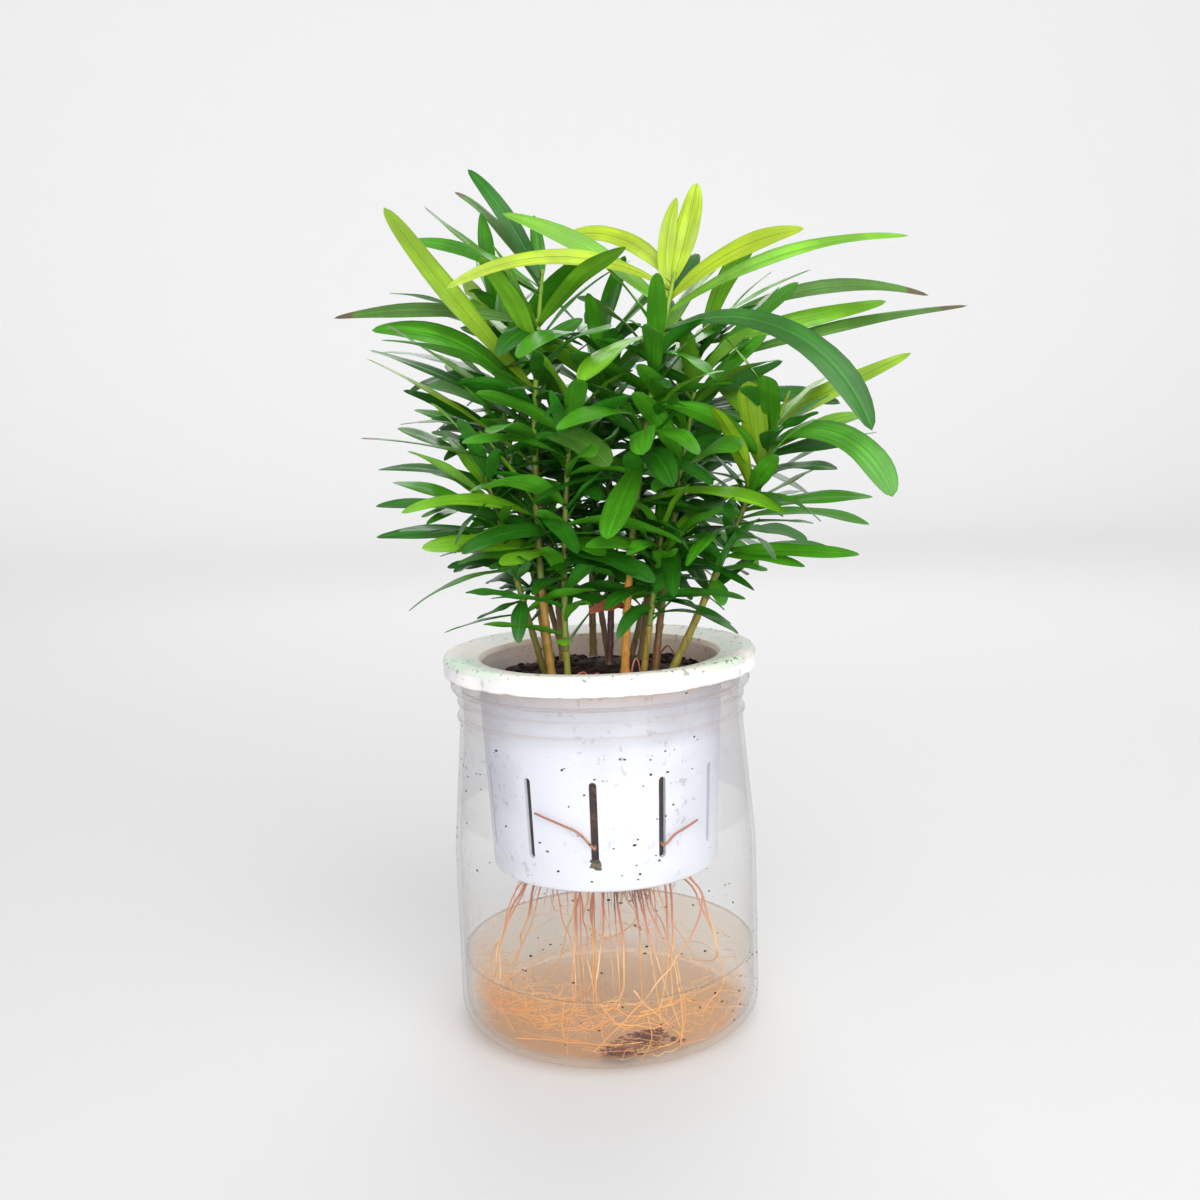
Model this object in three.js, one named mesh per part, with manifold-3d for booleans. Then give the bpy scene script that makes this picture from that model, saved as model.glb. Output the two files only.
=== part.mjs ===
// A clump of podocarpus seedlings in a slotted pot, which hangs in the mouth of a clear jar of water.
// Millimetres, +Z up. The origin is the centre of the jar's flat underside.

import * as THREE from 'three';
import { mergeVertices } from 'three/addons/utils/BufferGeometryUtils.js';
import Module from 'manifold-3d';

const wasm = await Module();
wasm.setup();

// ---- Driving dimensions ----

const GAP = 0.3; // between pieces that touch
const ROUND = 32; // sides of a turned piece

const JAR = {
  radius: 50,
  wall: 1.3,
  floor: 2,
  corner: 9,
  floorRadius: 35.6, // of the flat of the floor inside
  shoulderZ: 60,
  neckZ: 103,
  neckRadius: 46.4,
  ringZ: 106,
  ringRadius: 47.5,
  ringTop: 109,
  lipZ: 113.5,
  lipRadius: 49,
  height: 117.7,
};

const POT = {
  flangeRadius: 51,
  flangeZ: 118,
  flangeTop: 124.5,
  dishTop: 122.8,
  mouthRadius: 38.5,
  mouthDepth: 4,
  skirt: 3,
  round: 1.5, // of the flange's top edge
  chamfer: [0.6, 0.8], // of its bottom edge
  edge: 1, // of the mouth, the dish and the foot
  wall: 1.4,
  topRadius: 40,
  bottomRadius: 37.2,
  bottomZ: 54,
  floor: 1.6,
  slots: 11,
  slotWidth: 2.4,
  slotLow: 63.5,
  slotHigh: 89.5,
  slotDepth: 10,
  floorSlot: { radius: 21, length: 18 },
  slotTurn: -95, // degrees round the pot of the slot that faces the front
};

const SOIL = { rimZ: 115.2, domeZ: 119, edgeDrop: 36 };
const WATER = { level: 24 };
const ROOT = { radius: 0.8, slotRadius: 0.6, sides: 3, pitch: 7, sleeve: 0.6, pad: [9, 2.6] };

// A hanging root starts in its pad, under the pot's floor. On its way down it gives up these shares
// of its way outwards and of its turn, and then it settles on the jar's floor.
const HANG = {
  start: 3.2,
  drop: 8,
  outward: [0.35, 0.75],
  turn: [0.1, 0.4],
  over: 4, // the water
  under: 7, // the water
  settle: 2,
  wander: 1.5,
};
const STEM = { sides: 6, pitch: 14, foot: 0.5, flare: 1.35, tip: 0.9, shootTaper: 0.95, shootSides: 3 };
const LEAF = { keel: 0.9, slender: 80, petiole: 0.8, skew: 1.35, blunt: 0.58, blade: 0.28 };
const PLAIN_LEAF = { length: 62, droop: 40, stations: [0.36, 0.84] }; // short and nearly straight
const ARCHED_LEAF = { stations: [0.3, 0.58, 0.87] };
const TRIES = 6; // headings tried before a leaf is skipped
const SIDESTEP = 22; // degrees from one try to the next
const RIM_CLEAR = { z: 127.5, radius: 33 };
const SOIL_CLEAR = 3;
const SHORTENING = 0.06; // share of its length that a leaf loses from one try to the next

// How the leaves of a shoot change from its lowest to its highest, and how far each may stray.
const SPIRAL = {
  step: 137.5,
  stepSpread: 30,
  leastLength: 0.3,
  phase: [0.1, 0.78],
  lengthSpread: 12,
  rise: [10, 52],
  riseCurve: 1.5,
  riseSpread: 26,
  droop: [54, -30],
  droopSpread: 30,
  leastWidth: 3.9,
  widthByLength: 0.068,
  widthSpread: 1.6,
  turnSpread: 80,
};
const CROWN = { centre: [14, 0, 205], reach: [98, 86, 72] };

// Every seedling: where its foot stands, the knee and the tip of its curve, the height up to which
// the stem is bare, its girth, and the lowest, the highest, the count and the longest of the leaves
// that stand by rule.
const SEEDLINGS = [
  { name: 'center', foot: [7.9, -20], knee: [10, -20, 175], tip: [26.5, -25, 241],
    bare: 160, girth: 1.35, lowest: 176, highest: 222, leaves: 20, longest: 58 },
  { name: 'left', foot: [-15, -18], knee: [-21.5, -18, 185], tip: [-13, -17, 244],
    bare: 148, girth: 1.3, lowest: 152, highest: 228, leaves: 20, longest: 60 },
  { name: 'right', foot: [22.3, -15], knee: [39, -16, 150], tip: [60, -25, 205],
    bare: 142, girth: 1.25, lowest: 148, highest: 198, leaves: 20, longest: 46 },
  { name: 'back_right', foot: [14, 6], knee: [20, 10, 170], tip: [42, 14, 236],
    bare: 150, girth: 1.25, lowest: 160, highest: 224, leaves: 21, longest: 60 },
  { name: 'back_left', foot: [-12, 8], knee: [-14, 10, 180], tip: [-32, 12, 240],
    bare: 150, girth: 1.25, lowest: 158, highest: 237, leaves: 26, longest: 64 },
  { name: 'left_front', foot: [-10, -20], knee: [-11.5, -20, 160], tip: [-5, -30, 205],
    bare: 127, girth: 1.05, lowest: 145, highest: 203, leaves: 20, longest: 46 },
  { name: 'left_low', foot: [-17.5, -12], knee: [-24, -15, 145], tip: [-34, -18, 186],
    bare: 134, girth: 1.0, lowest: 140, highest: 184, leaves: 20, longest: 42 },
  { name: 'left_inner', foot: [-16.4, -5], knee: [-20, -6, 150], tip: [-30, 2, 216],
    bare: 138, girth: 1.0, lowest: 144, highest: 214, leaves: 21, longest: 50 },
  { name: 'right_front', foot: [13.7, -18], knee: [17, -18, 140], tip: [21, -27, 167],
    bare: 134, girth: 1.05, lowest: 138, highest: 165, leaves: 16, longest: 40 },
  { name: 'right_inner', foot: [17.6, -14], knee: [21, -14, 150], tip: [34, -8, 212],
    bare: 138, girth: 1.2, lowest: 144, highest: 210, leaves: 24, longest: 50 },
  { name: 'middle', foot: [3.2, -4], knee: [6.5, -4, 160], tip: [4, 2, 224],
    bare: 146, girth: 1.1, lowest: 150, highest: 221, leaves: 24, longest: 52 },
  { name: 'middle_low', foot: [3, 5], knee: [0.5, 4, 145], tip: [-10, 14, 198],
    bare: 136, girth: 1.0, lowest: 142, highest: 196, leaves: 20, longest: 48 },
  { name: 'back', foot: [-2, 16], knee: [-2, 20, 170], tip: [4, 34, 230],
    bare: 140, girth: 1.2, lowest: 146, highest: 228, leaves: 26, longest: 62 },
  { name: 'back_right_low', foot: [11, 17], knee: [20, 22, 150], tip: [38, 38, 196],
    bare: 136, girth: 1.05, lowest: 142, highest: 194, leaves: 22, longest: 46 },
  { name: 'back_left_low', foot: [-12, 18], knee: [-20, 22, 150], tip: [-34, 34, 194],
    bare: 136, girth: 1.05, lowest: 142, highest: 192, leaves: 22, longest: 48 },
];

// The leaves that lead the crown's outline and its front: height on the shoot, heading and rise at
// the root and droop along the leaf in degrees, length, width, and turn of the upper side towards
// the front.
const LEADING = {
  center: [
    [233, 165, 80, -32, 30, 5.6, 60],
    [238, 15, 70, -8, 30, 7, 60],
    [234, 60, 40, 10, 25, 6, 30],
    [233, 345, 44, 40, 45, 7, 60],
    [229, 15, 34, 36, 85, 5, 50],
    [236, 200, 30, 60, 72, 5.4, 60],
    [230, 175, 48, 32, 58, 6.5, 60],
    [238, 150, 58, 72, 46, 6.6, 50],
    [224, 330, 20, 92, 80, 9.6, 40],
    [222, 225, 5, 52, 38, 12, 0],
    [186, 250, -25, 15, 40, 9, 0],
    [172, 340, 24, 56, 49, 8, 20],
    [218, 340, 0, 55, 20, 8, 10],
    [196, 320, 54, 54, 34, 6, 10],
    [192, 225, 60, 54, 33, 8, 10],
  ],
  left: [
    [240, 140, 63, 22, 48, 5.4, 50],
    [208, 185, 48, -8, 70, 8.6, 50],
    [236, 160, 44, 42, 52, 5.4, 50],
    [228, 170, 15, 22, 66, 6, 50],
    [227, 310, 38, 26, 45, 9.5, 0],
    [200, 170, 64, 70, 62, 8, 50],
    [198, 190, 38, 6, 53, 4.4, 20],
    [196, 172, 38, 22, 58, 6, 20],
    [185, 175, 42, 16, 62, 4.8, 10],
    [182, 195, 24, 20, 55, 4, 10],
    [193, 155, 20, 26, 50, 4, 10],
    [170, 150, 33, 40, 65, 5.4, 30],
    [169, 205, 30, 50, 45, 5.6, 40],
    [160, 205, 12, 18, 38, 7, 50],
    [152, 180, 10, 50, 45, 4.6, 10],
    [194, 305, 10, 46, 41, 9, 30],
    [173, 230, 48, 6, 33, 8.4, 30],
    [238, 130, 54, 30, 57, 4, 20],
    [237, 170, 34, -8, 45, 3.8, 20],
    [240, 100, 66, 10, 25, 4.6, 20],
  ],
  right: [
    [182, 250, 72, 16, 29, 8.6, 0],
    [175, 235, 70, 40, 34, 7.4, 10],
    [189, 320, 32, 105, 51, 9.4, 40],
    [185, 5, 20, 30, 35, 6, 40],
    [169, 345, 15, 20, 40, 6.6, 30],
    [157, 330, 2, 6, 43, 5.8, 40],
    [151, 300, 14, 22, 25, 6, 10],
    [179, 330, 26, 42, 27, 7, 20],
    [170, 350, 30, 6, 27, 5, 10],
    [148, 290, -40, 30, 10, 6, 0],
  ],
  back_right: [
    [226, 0, 32, 50, 76, 6, 50],
    [222, 5, 12, 2, 63, 6.6, 60],
    [214, 5, 18, 14, 94, 5, 45],
    [221, 335, 28, -10, 32, 7, 20],
  ],
  back_left: [
    [214, 150, 68, 14, 38, 7, 40],
  ],
  left_inner: [
    [209, 330, 56, -50, 39, 8.6, 0],
    [192, 180, 40, 24, 38, 6, 40],
  ],
  middle: [
    [219, 240, 30, 66, 52, 8.4, 10],
  ],
  right_inner: [
    [183, 5, 26, 4, 81, 7, 50],
    [205, 5, 14, -10, 30, 6, 40],
  ],
  left_front: [
    [158, 225, 12, 30, 26, 9, 10],
    [131, 268, 6, 20, 10, 5, 0],
    [159, 320, 26, 60, 17, 7, 20],
  ],
  left_low: [
    [163, 170, 11, 20, 42, 5.4, 50],
    [143, 262, -30, 45, 16, 5.5, 0],
    [143, 200, -16, 4, 16, 3.4, 10],
  ],
  right_front: [
    [143, 345, -5, 27, 26, 4.6, 10],
  ],
};

// ---- Numbers ----

const radians = THREE.MathUtils.degToRad;

function seeded(seed) {
  let state = seed;
  return () => {
    state = (state * 1664525 + 1013904223) % 4294967296;
    return state / 4294967296;
  };
}

function circlePoint(radius, degrees, z) {
  return new THREE.Vector3(radius * Math.cos(radians(degrees)), radius * Math.sin(radians(degrees)), z);
}

// ---- Solids ----

function solidOf(geometry) {
  const bare = geometry.clone();
  bare.deleteAttribute('normal');
  bare.deleteAttribute('uv');
  const merged = mergeVertices(bare, 1e-4);
  const corners = merged.index.array;
  const kept = [];
  for (let i = 0; i < corners.length; i += 3) {
    const [a, b, c] = [corners[i], corners[i + 1], corners[i + 2]];
    if (a !== b && b !== c && c !== a) kept.push(a, b, c);
  }
  const vertProperties = new Float32Array(merged.attributes.position.array);
  const made = (triVerts) => new wasm.Manifold(new wasm.Mesh({ numProp: 3, vertProperties, triVerts }));
  const solid = made(new Uint32Array(kept));
  return solid.volume() > 0 ? solid : made(new Uint32Array(kept.reverse()));
}

function geometryOf(solid) {
  const mesh = solid.getMesh();
  const geometry = new THREE.BufferGeometry();
  geometry.setAttribute('position', new THREE.BufferAttribute(mesh.vertProperties, 3));
  geometry.setIndex(new THREE.BufferAttribute(mesh.triVerts, 1));
  geometry.computeVertexNormals();
  return geometry;
}

function fused(solids) {
  let queue = [...solids];
  while (queue.length > 1) {
    const halved = [];
    for (let i = 0; i < queue.length; i += 2) {
      halved.push(i + 1 < queue.length ? queue[i].add(queue[i + 1]) : queue[i]);
    }
    queue = halved;
  }
  return queue[0];
}

// The fused body alone: a sealed hollow between crossing blades is filled.
function wholeBody(solids) {
  const shells = fused(solids).decompose();
  return shells.reduce((largest, shell) => (shell.volume() > largest.volume() ? shell : largest));
}

function turned(profile) {
  const points = profile.map(([radius, z]) => new THREE.Vector2(radius, z));
  return solidOf(new THREE.LatheGeometry(points, ROUND).rotateX(Math.PI / 2));
}

// Rings of points joined into one closed skin. A ring of one point is a pointed end.
function lofted(rings) {
  const positions = rings.flat().flatMap((point) => point.toArray());
  const faces = [];
  let start = 0;
  for (let r = 0; r + 1 < rings.length; r += 1) {
    const [here, next] = [rings[r].length, rings[r + 1].length];
    const sides = Math.max(here, next);
    for (let i = 0; i < sides; i += 1) {
      const j = (i + 1) % sides;
      const low = [start + (i % here), start + (j % here)];
      const high = [start + here + (i % next), start + here + (j % next)];
      if (here > 1) faces.push(low[0], low[1], high[1]);
      if (next > 1) faces.push(low[0], high[1], high[0]);
    }
    start += here;
  }
  const last = rings[rings.length - 1].length;
  for (let i = 1; i + 1 < rings[0].length; i += 1) faces.push(0, i + 1, i);
  for (let i = 1; i + 1 < last; i += 1) faces.push(start, start + i, start + i + 1);
  const geometry = new THREE.BufferGeometry();
  geometry.setAttribute('position', new THREE.Float32BufferAttribute(positions, 3));
  geometry.setIndex(faces);
  return solidOf(geometry);
}

// ---- Jar, pot, soil ----

function arc(centre, radius, from, to, steps) {
  const points = [];
  for (let i = 0; i <= steps; i += 1) {
    const angle = radians(from + ((to - from) * i) / steps);
    points.push([centre[0] + radius * Math.cos(angle), centre[1] + radius * Math.sin(angle)]);
  }
  return points;
}

function jarSolid() {
  const { radius, wall, floor, corner, neckZ, neckRadius, ringTop, lipZ, lipRadius, height } = JAR;
  const outside = [
    [0, 0],
    ...arc([radius - corner, corner], corner, -90, 0, 4),
    [radius, JAR.shoulderZ],
    [neckRadius, neckZ],
    [JAR.ringRadius, JAR.ringZ],
    [neckRadius, ringTop],
    [lipRadius, lipZ],
    [lipRadius, height],
  ];
  const inside = [
    [lipRadius - 2 * wall, height],
    [neckRadius - wall, ringTop],
    [neckRadius - wall, neckZ],
    [radius - wall, JAR.shoulderZ],
    ...arc([radius - corner, corner], corner - wall, 0, -75, 3),
    [JAR.floorRadius, floor],
    [0, floor],
  ];
  return turned([...outside, ...inside]);
}

function potRadius(z) {
  const share = (z - POT.bottomZ) / (POT.flangeZ - POT.bottomZ);
  return POT.bottomRadius + (POT.topRadius - POT.bottomRadius) * share;
}

function potBody() {
  const { flangeRadius, flangeZ, flangeTop, dishTop, mouthRadius, skirt, wall, bottomZ, floor } = POT;
  const { round, chamfer, edge } = POT;
  return turned([
    [0, bottomZ],
    [potRadius(bottomZ) - edge, bottomZ],
    [potRadius(bottomZ), bottomZ + edge],
    [potRadius(flangeZ), flangeZ],
    [potRadius(flangeZ) + edge, dishTop - wall],
    [flangeRadius - skirt, flangeTop - 2 * wall],
    [flangeRadius - skirt, flangeZ],
    [flangeRadius - chamfer[0], flangeZ],
    [flangeRadius, flangeZ + chamfer[1]],
    ...arc([flangeRadius - round, flangeTop - round], round, 0, 90, 2),
    [mouthRadius + edge, dishTop],
    [mouthRadius, dishTop - edge],
    [potRadius(flangeZ) - wall, flangeZ - POT.mouthDepth],
    [potRadius(bottomZ) - wall, bottomZ + floor],
    [0, bottomZ + floor],
  ]);
}

function potSlots() {
  const cutters = [];
  const height = POT.slotHigh - POT.slotLow;
  for (let i = 0; i < POT.slots; i += 1) {
    const turn = radians(POT.slotTurn + (360 / POT.slots) * i);
    const side = new THREE.BoxGeometry(POT.slotDepth, POT.slotWidth, height);
    side.translate(POT.bottomRadius, 0, POT.slotLow + height / 2).rotateZ(turn);
    const under = new THREE.BoxGeometry(POT.floorSlot.length, 1.5 * POT.slotWidth, 3 * POT.floor);
    under.translate(POT.floorSlot.radius, 0, POT.bottomZ).rotateZ(turn);
    cutters.push(solidOf(side), solidOf(under));
  }
  return cutters;
}

function soilTop(x, y) {
  const share = Math.min(1, Math.hypot(x, y) / SOIL.edgeDrop);
  return SOIL.domeZ - (SOIL.domeZ - SOIL.rimZ) * share * share;
}

function soilSolid() {
  const inset = POT.wall + GAP;
  const low = POT.bottomZ + POT.floor + GAP;
  const edge = potRadius(SOIL.rimZ) - inset;
  const profile = [[0, low], [potRadius(low) - inset, low], [edge, SOIL.rimZ]];
  for (const share of [0.75, 0.5, 0.25, 0]) profile.push([edge * share, soilTop(edge * share, 0)]);
  return turned(profile);
}

// ---- Roots and water ----

// One root hangs from the pot's floor, spreads as it enters the water and runs round the jar's floor.
function hangingRoot({ from, out, to, spread, run, low }) {
  const top = POT.bottomZ - HANG.start;
  const { outward, turn } = HANG;
  const points = [
    circlePoint(out, from, top),
    circlePoint(out + outward[0] * (spread - out), from + turn[0] * (to - from), top - HANG.drop),
    circlePoint(out + outward[1] * (spread - out), from + turn[1] * (to - from), WATER.level + HANG.over),
    circlePoint(spread, to, WATER.level - HANG.under),
  ];
  for (let i = 1; i <= 3; i += 1) {
    const height = low + (3 - i) * HANG.settle;
    points.push(circlePoint(spread + HANG.wander * (i % 2), to + (run * i) / 3, height));
  }
  return new THREE.CatmullRomCurve3(points, false, 'centripetal');
}

// The root that has grown out of a slot lies along the pot's outer wall.
function slotRoot({ slot, low, run, climb }) {
  const start = POT.slotTurn + (360 / POT.slots) * slot;
  const inside = potRadius(low) - POT.wall + 0.2;
  const outside = potRadius(low + climb) + 2 * ROOT.radius + GAP;
  const points = [circlePoint(inside, start, low), circlePoint(outside, start, low)];
  for (let i = 1; i <= 4; i += 1) {
    points.push(circlePoint(outside, start + (run * i) / 4, low + climb * Math.sqrt(i / 4)));
  }
  return new THREE.CatmullRomCurve3(points, false, 'centripetal');
}

function ropeSolid(curve, radius) {
  const section = new THREE.Shape();
  for (let i = 0; i < ROOT.sides; i += 1) {
    const angle = radians((360 / ROOT.sides) * i);
    const corner = [radius * Math.cos(angle), radius * Math.sin(angle)];
    if (i === 0) section.moveTo(...corner);
    else section.lineTo(...corner);
  }
  section.closePath();
  const steps = Math.ceil(curve.getLength() / ROOT.pitch);
  return solidOf(new THREE.ExtrudeGeometry(section, { steps, extrudePath: curve, bevelEnabled: false }));
}

const ROOT_BUNCHES = {
  roots_left: { pad: [20, 180], roots: [
    { from: 185, out: 24, to: 176, spread: 40, run: 44, low: 6 },
    { from: 194, out: 24, to: 205, spread: 43, run: -48, low: 12 },
    { from: 170, out: 20, to: 160, spread: 33, run: 40, low: 4.5 },
  ] },
  roots_front: { pad: [16, 262], roots: [
    { from: 240, out: 16, to: 236, spread: 22, run: 20, low: 4.5 },
    { from: 250, out: 13, to: 247, spread: 15, run: -22, low: 9 },
    { from: 268, out: 16, to: 262, spread: 31, run: 42, low: 4.5 },
    { from: 285, out: 13, to: 280, spread: 24, run: -32, low: 6.5 },
  ] },
  roots_right: { pad: [20, 345], roots: [
    { from: 336, out: 22, to: 330, spread: 24, run: -16, low: 5 },
    { from: 352, out: 26, to: 345, spread: 38, run: -26, low: 9 },
    { from: 2, out: 20, to: 12, spread: 38, run: 40, low: 4.5 },
  ] },
  roots_back: { pad: [17, 95], roots: [
    { from: 80, out: 18, to: 76, spread: 38, run: 40, low: 4.5 },
    { from: 100, out: 20, to: 106, spread: 34, run: -26, low: 8 },
    { from: 118, out: 18, to: 126, spread: 26, run: 20, low: 4.5 },
  ] },
};

const SLOT_ROOTS = {
  root_slot_front: { slot: 0, low: 69, run: -28, climb: 10 },
  root_slot_right: { slot: 1, low: 68, run: 20, climb: 5 },
};

// The mat of fine roots under the pot's floor, which the roots of a bunch grow from.
function rootPad([radius, degrees]) {
  const [width, depth] = ROOT.pad;
  const pad = new THREE.SphereGeometry(1, 10, 6);
  pad.rotateX(Math.PI / 2).scale(width, width, depth);
  const centre = circlePoint(radius, degrees, POT.bottomZ - GAP - depth);
  return solidOf(pad.translate(...centre.toArray()));
}

function waterSolid(sleeves) {
  const { radius, corner, floor, wall } = JAR;
  const inset = wall + GAP;
  const body = turned([
    [0, floor + GAP],
    [JAR.floorRadius - GAP, floor + GAP],
    ...arc([radius - corner, corner], corner - inset, -72, 0, 3),
    [radius - inset, WATER.level],
    [0, WATER.level],
  ]);
  return body.subtract(fused(sleeves));
}

// ---- Seedlings ----

function curveOf({ foot, knee, tip }) {
  const ground = soilTop(...foot) + STEM.foot;
  const start = new THREE.Vector3(...foot, ground);
  return new THREE.QuadraticBezierCurve3(start, new THREE.Vector3(...knee), new THREE.Vector3(...tip));
}

// Where along the curve it reaches a height.
function shareAtHeight(curve, z) {
  const a = curve.v0.z - 2 * curve.v1.z + curve.v2.z;
  const b = 2 * (curve.v1.z - curve.v0.z);
  const c = curve.v0.z - z;
  if (Math.abs(a) < 1e-6) return -c / b;
  return (-b + Math.sqrt(b * b - 4 * a * c)) / (2 * a);
}

function limb(curve, from, to, radii, sides) {
  const length = curve.getLength() * (to - from);
  const steps = Math.max(2, Math.round(length / STEM.pitch));
  const rings = [];
  for (let i = 0; i <= steps; i += 1) {
    const share = i / steps;
    const centre = curve.getPoint(from + (to - from) * share);
    const upright = i === 0 && from === 0;
    const along = upright ? new THREE.Vector3(0, 0, 1) : curve.getTangent(from + (to - from) * share);
    const right = new THREE.Vector3(0, 1, 0).cross(along).normalize();
    const back = along.clone().cross(right);
    const radius = radii(share);
    const ring = [];
    for (let s = 0; s < sides; s += 1) {
      const angle = radians((360 / sides) * s);
      const spot = centre.clone().addScaledVector(right, radius * Math.cos(angle));
      ring.push(spot.addScaledVector(back, radius * Math.sin(angle)));
    }
    rings.push(ring);
  }
  return lofted(rings);
}

function girthAt(seedling, share) {
  return seedling.girth + (STEM.tip - seedling.girth) * share;
}

function stemSolid(seedling) {
  const curve = curveOf(seedling);
  const end = shareAtHeight(curve, seedling.bare);
  const flare = (share) => 1 + (STEM.flare - 1) * Math.max(0, 1 - 5 * share);
  return limb(curve, 0, end, (share) => girthAt(seedling, share * end) * flare(share), STEM.sides);
}

function shootSolid(seedling) {
  const curve = curveOf(seedling);
  const start = shareAtHeight(curve, seedling.bare + GAP + 0.1);
  const radii = (share) => STEM.shootTaper * girthAt(seedling, start + (1 - start) * share);
  return limb(curve, start, 1, radii, STEM.shootSides);
}

// ---- Leaves ----

// The leaf's middle line leaves its root at the heading and rise, and droops evenly along its length.
function leafFrame(leaf, share) {
  const heading = radians(leaf.heading);
  const rise = radians(leaf.rise);
  const droop = radians(Math.abs(leaf.droop) < 1 ? 1 : leaf.droop);
  const here = rise - droop * share;
  const out = (leaf.length / droop) * (Math.sin(rise) - Math.sin(here));
  const up = (leaf.length / droop) * (Math.cos(here) - Math.cos(rise));
  const ahead = new THREE.Vector3(Math.cos(heading), Math.sin(heading), 0);
  const side = new THREE.Vector3(-Math.sin(heading), Math.cos(heading), 0);
  const centre = leaf.root.clone().addScaledVector(ahead, out);
  centre.z += up;
  const above = ahead.clone().multiplyScalar(-Math.sin(here));
  above.z += Math.cos(here);
  const turn = radians(leaf.turn) * (ahead.x < 0 ? -1 : 1);
  const across = side.clone().multiplyScalar(Math.cos(turn)).addScaledVector(above, Math.sin(turn));
  const face = above.clone().multiplyScalar(Math.cos(turn)).addScaledVector(side, -Math.sin(turn));
  return { centre, across, face };
}

function leafWidth(leaf, share) {
  return Math.max(LEAF.petiole, leaf.width * Math.sin(Math.PI * share ** LEAF.skew) ** LEAF.blunt);
}

// The leaf's solid from a share of its length to its tip.
function leafSolid(leaf, from) {
  const keel = Math.max(LEAF.keel, leaf.length / LEAF.slender);
  const plain = leaf.length < PLAIN_LEAF.length && leaf.droop < PLAIN_LEAF.droop;
  const { stations } = plain ? PLAIN_LEAF : ARCHED_LEAF;
  const rings = [from, ...stations].map((share) => {
    const { centre, across, face } = leafFrame(leaf, share);
    const half = leafWidth(leaf, share) / 2;
    return [
      centre.clone().addScaledVector(across, half),
      centre.clone().addScaledVector(face, -keel),
      centre.clone().addScaledVector(across, -half),
    ];
  });
  rings.push([leafFrame(leaf, 1).centre]);
  return lofted(rings);
}

function leadingLeaves(seedling) {
  const curve = curveOf(seedling);
  return (LEADING[seedling.name] ?? []).map(([z, heading, rise, droop, length, width, turn]) => {
    const root = curve.getPoint(shareAtHeight(curve, z));
    return { root, heading, rise, droop, length, width, turn };
  });
}

// The rest of a shoot's leaves stand round it in a spiral: short and flat below, longest half-way,
// short and steep at the tip.
function spiralLeaves(seedling, seed) {
  const random = seeded(seed);
  const spread = (width) => (random() - 0.5) * width;
  const curve = curveOf(seedling);
  const { lowest, highest } = seedling;
  const first = random() * 360;
  const leaves = [];
  for (let i = 0; i < seedling.leaves; i += 1) {
    const share = (i + 0.5) / seedling.leaves;
    const root = curve.getPoint(shareAtHeight(curve, lowest + (highest - lowest) * share));
    const { leastLength, phase, rise, droop } = SPIRAL;
    const fullness = leastLength + (1 - leastLength) * Math.sin(Math.PI * (phase[0] + phase[1] * share));
    const length = seedling.longest * fullness + spread(SPIRAL.lengthSpread);
    leaves.push({
      root,
      heading: first + SPIRAL.step * i + spread(SPIRAL.stepSpread),
      rise: rise[0] + rise[1] * share ** SPIRAL.riseCurve + spread(SPIRAL.riseSpread),
      droop: droop[0] + droop[1] * share + spread(SPIRAL.droopSpread),
      length,
      width: SPIRAL.leastWidth + SPIRAL.widthByLength * length + spread(SPIRAL.widthSpread),
      turn: spread(SPIRAL.turnSpread),
    });
  }
  return leaves;
}

function staysInSpace(leaf) {
  return [0.25, 0.5, 0.75, 1].every((share) => {
    const { centre } = leafFrame(leaf, share);
    const overRim = centre.z > RIM_CLEAR.z || Math.hypot(centre.x, centre.y) < RIM_CLEAR.radius;
    const reach = centre.toArray().map((value, i) => (value - CROWN.centre[i]) / CROWN.reach[i]);
    return overRim && centre.z > soilTop(centre.x, centre.y) + SOIL_CLEAR && Math.hypot(...reach) < 1;
  });
}

function boxesMeet(a, b) {
  return [0, 1, 2].every((i) => a.min[i] - GAP < b.max[i] && b.min[i] - GAP < a.max[i]);
}

// A leaf of the same shoot may meet others at its root, so only its blade is kept off them.
function isClear(leaf, others) {
  return others.every((other) => {
    if (!boxesMeet(leaf.box, other.box)) return true;
    if (other.owner === leaf.owner) return leaf.blade.minGap(other.solid, GAP) > 0;
    return leaf.solid.minGap(other.solid, 2 * GAP) > GAP;
  });
}

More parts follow.
